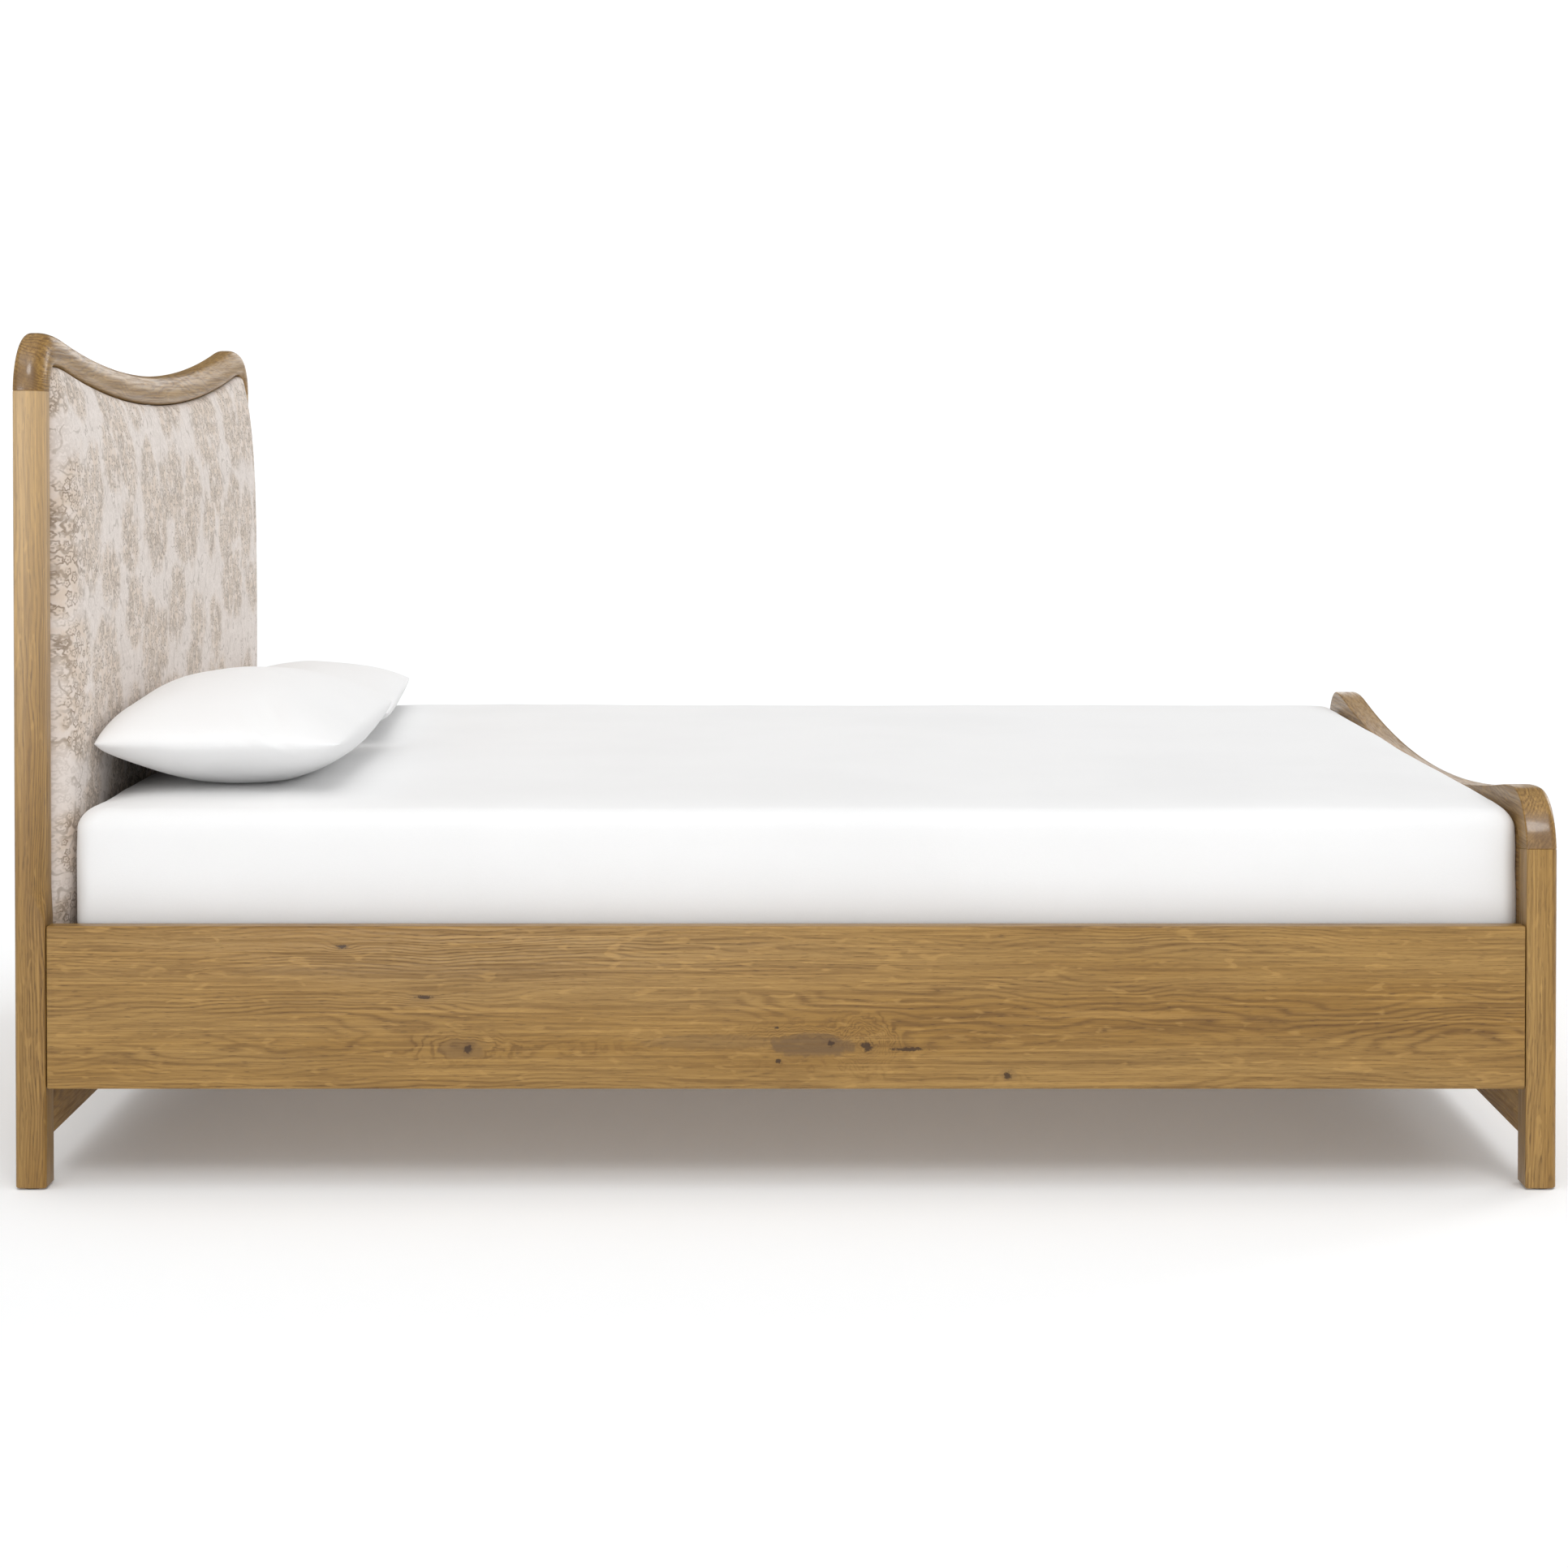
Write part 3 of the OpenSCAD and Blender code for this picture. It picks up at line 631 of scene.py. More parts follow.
def rounded_section(width, depth, radii, inset=0.0, steps=8):
    """Points round a rectangle with a radius for each corner, pulled in by inset.

    The corners come in the order outer front, outer back, inner back and inner front.
    """
    corners = ((0, 0), (0, depth), (width, depth), (width, 0))
    points = []
    for number, ((u, v), radius) in enumerate(zip(corners, radii)):
        radius = max(radius, inset + 0.0002)
        su, sv = (1 if u == 0 else -1), (1 if v == 0 else -1)
        cu, cv = u + su * radius, v + sv * radius
        for i in range(steps + 1):
            t = math.pi / 2 * i / steps
            t = math.pi / 2 - t if number % 2 == 0 else t
            r = radius - inset
            points.append((cu - su * r * math.cos(t), cv - sv * r * math.sin(t)))
    return points


class EndFrame:
    """The arch of a headboard or footboard, worked out from its crest rail and post."""

    def __init__(self, end):
        shape = bpy.context.scene.bed_frame_shape
        self.end = end
        self.low, self.high, size = span(f"{end}_crest_rail")
        post = span(f"{end}_post_left")
        self.base, self.joint = post[0].z, post[1].z
        self.band, self.depth = post[2].y, size.x
        self.half, self.top = -post[0].y, self.high.z
        self.front = self.high.x if end == "headboard" else self.low.x
        self.away = -1 if end == "headboard" else 1
        self.shoulder, self.roll = shape.shoulder, shape.roll
        self.drop = self.top - self.low.z - self.band
        self.theta = 2 * math.atan(self.drop / (self.half - self.shoulder))
        self.scoop = (self.half - self.shoulder) / math.sin(self.theta) - self.roll

    def shoulder_at(self, angle):
        """A station on the left shoulder: place on the outline, and outward direction."""
        y = -self.half + self.shoulder - self.shoulder * math.cos(angle)
        z = self.top - self.shoulder + self.shoulder * math.sin(angle)
        return y, z, -math.cos(angle), math.sin(angle)

    def half_arch(self, start=0.0, steps=18, roll_steps=6, scoop_steps=26):
        """Stations over the left half, from an angle on the shoulder to mid width."""
        stations = [self.shoulder_at(start + (math.pi / 2 - start) * i / steps)
                    for i in range(steps + 1)]
        for i in range(1, roll_steps + 1):
            a = self.theta * i / roll_steps
            y = -self.half + self.shoulder + self.roll * math.sin(a)
            z = self.top - self.roll + self.roll * math.cos(a)
            stations.append((y, z, math.sin(a), math.cos(a)))
        for i in range(scoop_steps - 1, -1, -1):
            a = self.theta * i / scoop_steps
            y = -self.scoop * math.sin(a)
            z = self.top - self.drop + self.scoop * (1 - math.cos(a))
            stations.append((y, z, math.sin(a), math.cos(a)))
        return stations

    def arch(self, start=0.0):
        """Stations over the whole width."""
        left = self.half_arch(start)
        return left + [(-y, z, -ny, nz) for y, z, ny, nz in reversed(left[:-1])]

    def joint_angle(self):
        """How far up the shoulder a post's joint lies."""
        rise = self.joint - (self.top - self.shoulder)
        return math.asin(max(0.0, rise) / self.shoulder)

    def ring(self, station, radii, inset=0.0, lift=0.0):
        """A cross-section of the frame at a station, moved along it by lift."""
        y, z, ny, nz = station
        y, z = y + nz * lift, z - ny * lift
        section = rounded_section(self.band, self.depth, radii, inset)
        return [(self.front + self.away * v, y - ny * u, z - nz * u) for u, v in section]

    def opening(self, gap=0.0):
        """The top edge of the opening inside the frame, from left to right."""
        inset = self.band + gap
        return [(y - ny * inset, z - nz * inset) for y, z, ny, nz in self.arch()]


def crest_rail(shape, radii, easing):
    """A crest rail: the section swept over the arch, with both ends eased."""
    stations = shape.arch(shape.joint_angle())
    rings = [shape.ring(stations[0], radii, easing)]
    rings.append(shape.ring(stations[0], radii, 0.0, easing))
    rings += [shape.ring(s, radii) for s in stations[1:-1]]
    rings.append(shape.ring(stations[-1], radii, 0.0, -easing))
    rings.append(shape.ring(stations[-1], radii, easing))
    return smooth(loft(f"{shape.end}_scooped_crest", rings), 40.0)


def post(shape, side, radii_at, easing):
    """A post from its glide to its joint. radii_at gives the arrises' radii at a height."""
    straight = shape.top - shape.shoulder
    count, joint_steps, foot_easing = 56, 4, 2.5 * easing
    heights = [shape.base + (straight - shape.base) * i / count for i in range(count + 1)]
    stations = [(-shape.half, z, -1.0, 0.0) for z in heights]
    joint = shape.joint_angle()
    stations += [shape.shoulder_at(joint * i / joint_steps) for i in range(1, joint_steps + 1)]
    rings = [shape.ring(stations[0], radii_at(shape.base), foot_easing)]
    rings.append(shape.ring(stations[0], radii_at(shape.base), 0.0, foot_easing))
    rings += [shape.ring(s, radii_at(s[1])) for s in stations[1:-1]]
    rings.append(shape.ring(stations[-1], radii_at(shape.joint), 0.0, -easing))
    rings.append(shape.ring(stations[-1], radii_at(shape.joint), easing))
    if side > 0:
        rings = [[(x, -y, z) for x, y, z in ring] for ring in rings]
    name = "left" if side < 0 else "right"
    return smooth(loft(f"{shape.end}_{name}_stile", rings), 40.0)


def opening_grid(edge, low, rows):
    """Places (y, z) over an opening, in columns from left to right and bottom to top."""
    steps = [0.5 - 0.5 * math.cos(math.pi * i / rows) for i in range(rows + 1)]
    return [[(y, low + (top - low) * s) for s in steps] for y, top in edge]


def grid_solid(name, columns, front, back):
    """A closed panel over a grid. front and back give x for a place, a column and a row."""
    rows = len(columns[0])
    faces, points = [], []
    for side in (front, back):
        for i, column in enumerate(columns):
            points += [(side(y, z, i, j), y, z) for j, (y, z) in enumerate(column)]
    far = len(columns) * rows
    for i in range(len(columns) - 1):
        for j in range(rows - 1):
            a, b = i * rows + j, (i + 1) * rows + j
            faces.append((a, b, b + 1, a + 1))
            faces.append((far + a, far + a + 1, far + b + 1, far + b))
    rim = [i * rows for i in range(len(columns))]
    rim += [(len(columns) - 1) * rows + j for j in range(1, rows)]
    rim += [i * rows + rows - 1 for i in range(len(columns) - 2, -1, -1)]
    rim += range(rows - 2, 0, -1)
    for a, b in zip(rim, rim[1:] + rim[:1]):
        faces.append((a, b, far + b, far + a))
    return add_mesh(name, points, faces)


def flat_panel(name, shape, node, rows=12):
    """A plain panel that fills an end frame's opening, as thick as its node."""
    low, high, _ = span(node)
    columns = opening_grid(shape.opening(0.0008), low.z, rows)
    piece = grid_solid(name, columns, lambda *_: high.x, lambda *_: low.x)
    return smooth(piece, 30.0)


# ---------------------------------------------------------------------------
# Operators, one for each piece or group of like pieces
# ---------------------------------------------------------------------------

# Panels in the sky: the strength's setting, its sign, direction, and half angles in degrees of
# the faded rim and of the full core
SKY_PANELS = (
    ("flag", -1, (0.15, 0.97, 0.05), 45.0, 28.0),
    ("strip", 1, (0.08, 0.98, 0.17), 10.5, 8.0),
    ("card", 1, (-0.235, -0.97, 0.05), 10.0, 7.0),
    ("window", 1, (0.67, 0.65, 0.31), 11.5, 9.0),
    ("softbox", 1, (0.10, -0.85, 0.50), 40.0, 30.0),
)
# Distant lights: tilt towards the camera, turn about the bed, and spread, in degrees
SUNS = (("overhead", 6.0, 0.0, 60.0), ("key", 44.0, 14.0, 20.0))
FLOOR_REACH = 60.0
FLOOR_GLOW = 0.10
SENSOR_WIDTH = 36.0
FRAMING_ASIDE = -0.0108
FARTHEST_SEEN = 200.0


class BED_OT_stage(bpy.types.Operator):
    """Pale floor, soft studio light and the camera"""

    bl_idname = "bed.stage"
    bl_label = "Stage"

    def sky(self, look):
        """Soft light with bright panels in it, in front of a brighter backdrop."""
        world = bpy.data.worlds.new("studio sky")
        world.use_nodes = True
        tree = world.node_tree
        soft = tree.nodes["Background"]
        backdrop = tree.nodes.new("ShaderNodeBackground")
        for light, strength in ((soft, look.sky), (backdrop, look.backdrop)):
            light.inputs["Color"].default_value = (1.0, 1.0, 1.0, 1.0)
            light.inputs["Strength"].default_value = strength
        towards = tree.nodes.new("ShaderNodeTexCoord").outputs["Generated"]
        total = look.sky
        for name, sign, aim, edge, core in SKY_PANELS:
            strength = sign * getattr(look, name)
            facing = tree.nodes.new("ShaderNodeVectorMath")
            facing.operation = "DOT_PRODUCT"
            facing.inputs[1].default_value = Vector(aim).normalized()
            tree.links.new(towards, facing.inputs[0])
            panel = tree.nodes.new("ShaderNodeMapRange")
            panel.interpolation_type = "SMOOTHSTEP"
            rim = [math.cos(math.radians(angle)) for angle in (edge, core)]
            for socket, value in zip((1, 2, 3, 4), (*rim, 0.0, strength)):
                panel.inputs[socket].default_value = value
            tree.links.new(facing.outputs["Value"], panel.inputs[0])
            add = tree.nodes.new("ShaderNodeMath")
            tree.links.new(panel.outputs[0], add.inputs[0])
            if isinstance(total, float):
                add.inputs[1].default_value = total
            else:
                tree.links.new(total, add.inputs[1])
            total = add.outputs[0]
        tree.links.new(total, soft.inputs["Strength"])
        both = tree.nodes.new("ShaderNodeMixShader")
        seen = tree.nodes.new("ShaderNodeLightPath").outputs["Is Camera Ray"]
        tree.links.new(seen, both.inputs["Fac"])
        tree.links.new(soft.outputs[0], both.inputs[1])
        tree.links.new(backdrop.outputs[0], both.inputs[2])
        tree.links.new(both.outputs[0], tree.nodes["World Output"].inputs["Surface"])
        return world

    def sun(self, name, strength, tilt, turn, spread):
        """A distant light, tilted from overhead towards the camera and turned about the bed."""
        lamp = bpy.data.lights.new(name, "SUN")
        lamp.energy, lamp.angle = strength, math.radians(spread)
        light = bpy.data.objects.new(name, lamp)
        light.rotation_euler = (math.radians(tilt), 0.0, math.radians(turn))
        bpy.context.scene.collection.objects.link(light)

    def execute(self, context):
        scene, look = context.scene, context.scene.bed_studio
        corners = [(sx * FLOOR_REACH, sy * FLOOR_REACH, 0)
                   for sx, sy in ((-1, -1), (1, -1), (1, 1), (-1, 1))]
        floor = add_mesh("studio_floor", corners, [(0, 1, 2, 3)])
        paint = Finish("studio floor paint", 0.9, Specular_IOR_Level=0.1,
                       Emission_Strength=FLOOR_GLOW, Emission_Color=(1.0, 1.0, 1.0))
        speckle = paint.noise(paint.place, (14.0, 14.0, 14.0), 4.0)
        paint.colour(paint.mix(speckle, look.floor, [c * 0.985 for c in look.floor]))
        floor.data.materials.append(paint.material)
        scene.world = self.sky(look)

        for name, tilt, turn, spread in SUNS:
            self.sun(name, getattr(look, name), tilt, turn, spread)

        lens = bpy.data.cameras.new("camera")
        lens.sensor_width, lens.lens = SENSOR_WIDTH, look.lens
        lens.shift_x, lens.shift_y = FRAMING_ASIDE, -look.shift
        lens.clip_end = FARTHEST_SEEN
        camera = bpy.data.objects.new("camera", lens)
        camera.location = (look.aside, cad_low.y - look.setback, look.height)
        camera.rotation_euler = (math.pi / 2 - look.pitch, 0.0, 0.0)
        scene.collection.objects.link(camera)
        scene.camera = camera
        scene.view_settings.view_transform = "Standard"
        return {"FINISHED"}


# The headboard's posts, painted light: two heights, how light the wood is painted at each,
# and how far the painted sheen whitens it above
POST_PAINTED_LIGHT = (0.25, 1.1, 0.90, 1.34, 0.24)


class BED_OT_headboard(bpy.types.Operator):
    """Oak frame of the headboard and its back panel"""

    bl_idname = "bed.headboard"
    bl_label = "Headboard frame"

    def execute(self, context):
        look = context.scene.bed_frame_shape
        shape = EndFrame("headboard")
        rail_low, rail_high, _ = span("side_rail_left")

        def radii_at(height):
            """The front arris is round above the rail and stops short of it."""
            fade = (height - rail_high.z - 0.004) / look.stop
            fade = min(1.0, max(0.0, fade))
            fade = fade * fade * (3 - 2 * fade)
            lower = 0.006 if height < rail_low.z - 0.01 else look.eased
            front = look.head_front * fade + lower * (1 - fade)
            inner = look.head_inner * fade + look.eased * (1 - fade)
            return front, look.head_back, look.eased, inner

        above = (look.head_front, look.head_back, look.eased, look.head_inner)
        crest = crest_rail(shape, above, look.joint)
        dress(crest, "frame", oak("oak, headboard crest", "Y", (0.3, 1.13, 1.02)),
              ["headboard_crest_rail"])
        for name, side in SIDES:
            piece = post(shape, side, radii_at, look.joint)
            pith = (0.2, side * 0.87, 1.12) if side < 0 else (0.9, side * 0.86, 1.10)
            # The posts' oak carries painted light and painted sheen, lighter and paler towards the
            # top
            dress(piece, "frame",
                  oak(f"oak, headboard {name} post", "Z", pith, tone=POST_PAINTED_LIGHT),
                  [f"headboard_post_{name}"])
        low, high, _ = span("headboard_bottom_rail")
        inner = shape.half - shape.band
        low.y, high.y = -inner, inner
        rail = eased_board("headboard_lower_rail", low, high, look.eased)
        dress(rail, "frame", oak("oak, headboard lower rail", "Y", (0.1, 1.2, 0.16)),
              ["headboard_bottom_rail"])
        back = flat_panel("headboard_veneered_back", shape, "headboard_back_panel")
        veneer = oak("oak veneer, headboard back", "Z", (0.4, 0.05, 1.3))
        dress(back, "frame", veneer, ["headboard_back_panel"])
        return {"FINISHED"}


class BED_OT_upholstery(bpy.types.Operator):
    """Crowned foam and printed linen of the headboard"""

    bl_idname = "bed.upholstery"
    bl_label = "Headboard upholstery"

    def execute(self, context):
        look = context.scene.bed_linen
        shape = EndFrame("headboard")
        low, _, _ = span("headboard_fabric_cover")
        back = span("headboard_foam_pad")[0].x
        edge = shape.opening(0.0012)
        rows = 60
        columns = opening_grid(edge, low.z, rows)
        half = -edge[0][0]

        def crown(y, z, i, j):
            """The fabric's front: a tight roll at its edge and a soft crown inside."""
            side, under, over = half - abs(y), z - low.z, edge[i][1] - z
            rise, roll = look.crown, look.edge
            for gap, reach in ((side, look.side), (under, look.reach), (over, look.reach)):
                rise *= 1 - math.exp(-max(gap, 0.0) / reach)
                roll *= 1 - math.exp(-max(gap, 0.0) / 0.0022)
            near = min(side, under, over)
            pull = noise.noise(Vector((y * 28.0, z * 28.0, 3.1))) * math.exp(-near / 0.05)
            drape = noise.noise(Vector((y * 5.0, z * 5.0, 8.0))) * (1 - math.exp(-near / 0.15))
            return back + roll + rise + 0.0006 * pull + 0.0008 * drape

        skin = 0.0016
        foam = grid_solid("headboard_foam", columns, lambda *at: crown(*at) - skin,
                          lambda *_: back)
        dress(smooth(foam, 60.0), "frame", open_foam("cut foam"), ["headboard_foam_pad"])
        cover = grid_solid("headboard_printed_linen", columns, crown,
                           lambda *at: crown(*at) - skin * 0.6)
        dress(smooth(cover, 60.0), "frame", flower_print("printed linen"),
              ["headboard_fabric_cover"])
        return {"FINISHED"}


class BED_OT_footboard(bpy.types.Operator):
    """Oak frame and panel of the footboard"""

    bl_idname = "bed.footboard"
    bl_label = "Footboard"

    def execute(self, context):
        look = context.scene.bed_frame_shape
        shape = EndFrame("footboard")
        radii = (look.foot_front, look.foot_back, look.eased, 0.0006)
        crest = crest_rail(shape, radii, look.joint)
        dress(crest, "frame", oak("oak, footboard crest", "Y", (0.55, -1.17, 0.40)),
              ["footboard_crest_rail"])
        for name, side in SIDES:
            piece = post(shape, side, lambda height: radii, look.joint)
            pith = (0.35, side * 0.88, -1.15) if side < 0 else (0.05, side * 0.86, -1.12)
            dress(piece, "frame", oak(f"oak, footboard {name} post", "Z", pith),
                  [f"footboard_post_{name}"])
        low, high, _ = span("footboard_bottom_rail")
        inner = shape.half - shape.band
        low.y, high.y = -inner, inner
        rail = eased_board("footboard_lower_rail", low, high, look.eased)
        dress(rail, "frame", oak("oak, footboard lower rail", "Y", (0.6, -1.2, 0.16)),
              ["footboard_bottom_rail"])
        panel = flat_panel("footboard_veneered_panel", shape, "footboard_panel")
        dress(panel, "frame", oak("oak veneer, footboard", "Y", (0.2, -1.16, 0.31)),
              ["footboard_panel"])
        return {"FINISHED"}


# Figures of the left rail's knots: along it, above its pith, half sizes both ways, and stain
RAIL_FIGURES = (
    (-0.452, -0.014, 0.036, 0.014, 0.45), (0.035, -0.008, 0.062, 0.0165, 0.80),
    (-0.100, -0.004, 0.110, 0.0110, 0.34),
    (0.113, -0.010, 0.020, 0.022, 0.10), (0.311, -0.050, 0.014, 0.008, 0.30),
    (-0.507, 0.059, 0.022, 0.006, 0.20), (-0.620, 0.130, 0.012, 0.005, 0.15),
)
# Their dark hearts: along the rail, above its pith, and half sizes both ways
RAIL_HEARTS = (
    (-0.444, -0.014, 0.0062, 0.0058), (0.0625, -0.006, 0.0048, 0.0040),
    (0.113, -0.010, 0.0085, 0.0060), (0.172, -0.014, 0.022, 0.0026),
    (0.310, -0.050, 0.0050, 0.0060), (-0.013, 0.016, 0.0040, 0.0020),
    (-0.011, -0.031, 0.0040, 0.0030), (-0.507, 0.059, 0.0140, 0.0022),
    (-0.620, 0.130, 0.0080, 0.0030),
)


class BED_OT_side_rails(bpy.types.Operator):
    """Oak side rails and the ledgers that carry the slats"""

    bl_idname = "bed.side_rails"
    bl_label = "Side rails"

    def execute(self, context):
        look, timber = context.scene.bed_frame_shape, context.scene.bed_fittings
        for name, side in SIDES:
            low, high, _ = span(f"side_rail_{name}")
            rail = eased_board(f"{name}_rail_board", low, high, look.eased * 0.8)
            pith = (0.0, side * 0.755, 0.212)
            knots = [[(side * -at, *rest) for at, *rest in places]
                     for places in (RAIL_FIGURES, RAIL_HEARTS)]
            dress(rail, "frame", oak(f"oak, {name} rail", "X", pith, knots),
                  [f"side_rail_{name}"])
            ledger = span(f"slat_ledger_{name}")
            board = eased_board(f"{name}_ledger_batten", ledger[0], ledger[1], 0.0025)
            dress(board, "frame",
                  plain_timber(f"pine, {name} ledger", "X", timber.pine, (0.3, side * 0.7, 0.15)),
                  [f"slat_ledger_{name}"])
        return {"FINISHED"}


class BED_OT_slat_base(bpy.types.Operator):
    """Slats, centre beam and legs, and the hidden timber of the headboard"""

    bl_idname = "bed.slat_base"
    bl_label = "Slatted base"

    def execute(self, context):
        timber = context.scene.bed_fittings
        for number, node in enumerate(SLATS):
            low, high, _ = span(node)
            slat = eased_board(f"{node}_board", low, high, 0.003)
            pith = (0.37 * number, -low.x + 0.02 * (number % 3), 0.10 + 0.013 * (number % 5))
            dress(slat, "frame",
                  plain_timber(f"birch, {node}", "Y", timber.birch, pith, 0.0038), [node])
        beam = span("centre_beam")
        board = eased_board("centre_beam_board", beam[0], beam[1], 0.004)
        dress(board, "frame",
              plain_timber("pine, beam", "X", timber.pine, (0.7, -0.06, 0.10)), ["centre_beam"])
        upright = plain_timber("pine, uprights", "Z", timber.pine, (0.0, 0.04, 0.5))
        nodes = [f"headboard_batten_{name}" for name, _ in SIDES]
        nodes += [f"centre_leg_{place}" for place in FEET]
        for node in nodes:
            finish_piece(frame_object(node), upright)
        ply = plain_timber("birch plywood", "Y", timber.birch, (0.0, 1.6, 0.4), 0.0025)
        dowel = plain_timber("beech dowel", "Z", timber.birch, (0.0, 0.3, 0.3))
        for node, finish in (("headboard_backer_board", ply), ("crest_dowels", dowel)):
            finish_piece(frame_object(node), finish)
        return {"FINISHED"}


class BED_OT_fittings(bpy.types.Operator):
    """Brackets, hangers, screws, inserts, glides and levelling feet"""

    bl_idname = "bed.fittings"
    bl_label = "Fittings"

    def execute(self, context):
        look = context.scene.bed_fittings
        zinc = plated_metal("zinc plate", look.zinc)
        yellow = plated_metal("yellow passivate", look.yellow, 0.30)
        brass = plated_metal("brass", look.brass, 0.28)
        plastic = moulded_plastic("black plastic", look.plastic)
        finishes = {
            zinc: ("rail_hooks_left", "rail_hooks_right", "post_sockets_head", "post_sockets_foot",
                   "beam_hanger_head", "beam_hanger_foot", "mattress_spring_unit"),
            yellow: ("bracket_screws", "ledger_screws", "slat_screws", "hanger_screws"),
            brass: ("leg_inserts",),
            plastic: ("floor_glides",),
        }
        for finish, nodes in finishes.items():
            for node in nodes:
                finish_piece(frame_object(node), finish)
        for place in FEET:
            self.levelling_foot(place, zinc, plastic)
        return {"FINISHED"}

    def levelling_foot(self, place, zinc, plastic):
        """A moulded pad with a threaded stem."""
        node = f"levelling_foot_{place}"
        low, high, size = span(node)
        middle = (low + high) / 2
        r, pad_top, stem = size.x / 2, low.z + 0.008, 0.005
        pad = [(r - 0.0025, low.z), (r - 0.0006, low.z + 0.0008), (r, low.z + 0.0024),
               (r - 0.0004, low.z + 0.0046), (r - 0.003, low.z + 0.0062),
               (0.011, low.z + 0.0068), (0.009, pad_top - 0.0004), (0.0082, pad_top)]
        piece = turned(f"foot_pad_{place}", middle, pad)
        dress(piece, node, plastic, [node])
        pitch, depth = 0.0015, 0.0006
        profile = [(stem - depth, pad_top)]
        for turn in range(int((high.z - pad_top) / pitch)):
            base = pad_top + turn * pitch
            profile += [(stem - depth, base + 0.1 * pitch), (stem, base + 0.5 * pitch)]
        profile += [(stem - depth, high.z - 0.0003), (stem - 2 * depth, high.z)]
        thread = turned(f"foot_stem_{place}", middle, profile, 20)
        dress(thread, node, zinc)


def rounded_outline(low, high, radius, steps=10, gap=0.03):
    """Points (x, y, outward x, outward y) round a rectangle with round corners."""
    corners = ((high.x, low.y, 1, -1), (high.x, high.y, 1, 1), (low.x, high.y, -1, 1),
               (low.x, low.y, -1, -1))
    stops = []
    for number, (x, y, sx, sy) in enumerate(corners):
        cx, cy = x - sx * radius, y - sy * radius
        start = -math.pi / 2 + number * math.pi / 2
        stops.append([(cx + radius * math.cos(start + math.pi / 2 * i / steps),
                       cy + radius * math.sin(start + math.pi / 2 * i / steps),
                       math.cos(start + math.pi / 2 * i / steps),
                       math.sin(start + math.pi / 2 * i / steps)) for i in range(steps + 1)])
    outline = []
    for corner, following in zip(stops, stops[1:] + stops[:1]):
        outline += corner
        (x0, y0, nx, ny), (x1, y1, _, _) = corner[-1], following[0]
        count = max(1, round(math.hypot(x1 - x0, y1 - y0) / gap))
        outline += [(x0 + (x1 - x0) * k / count, y0 + (y1 - y0) * k / count, nx, ny)
                    for k in range(1, count)]
    return outline


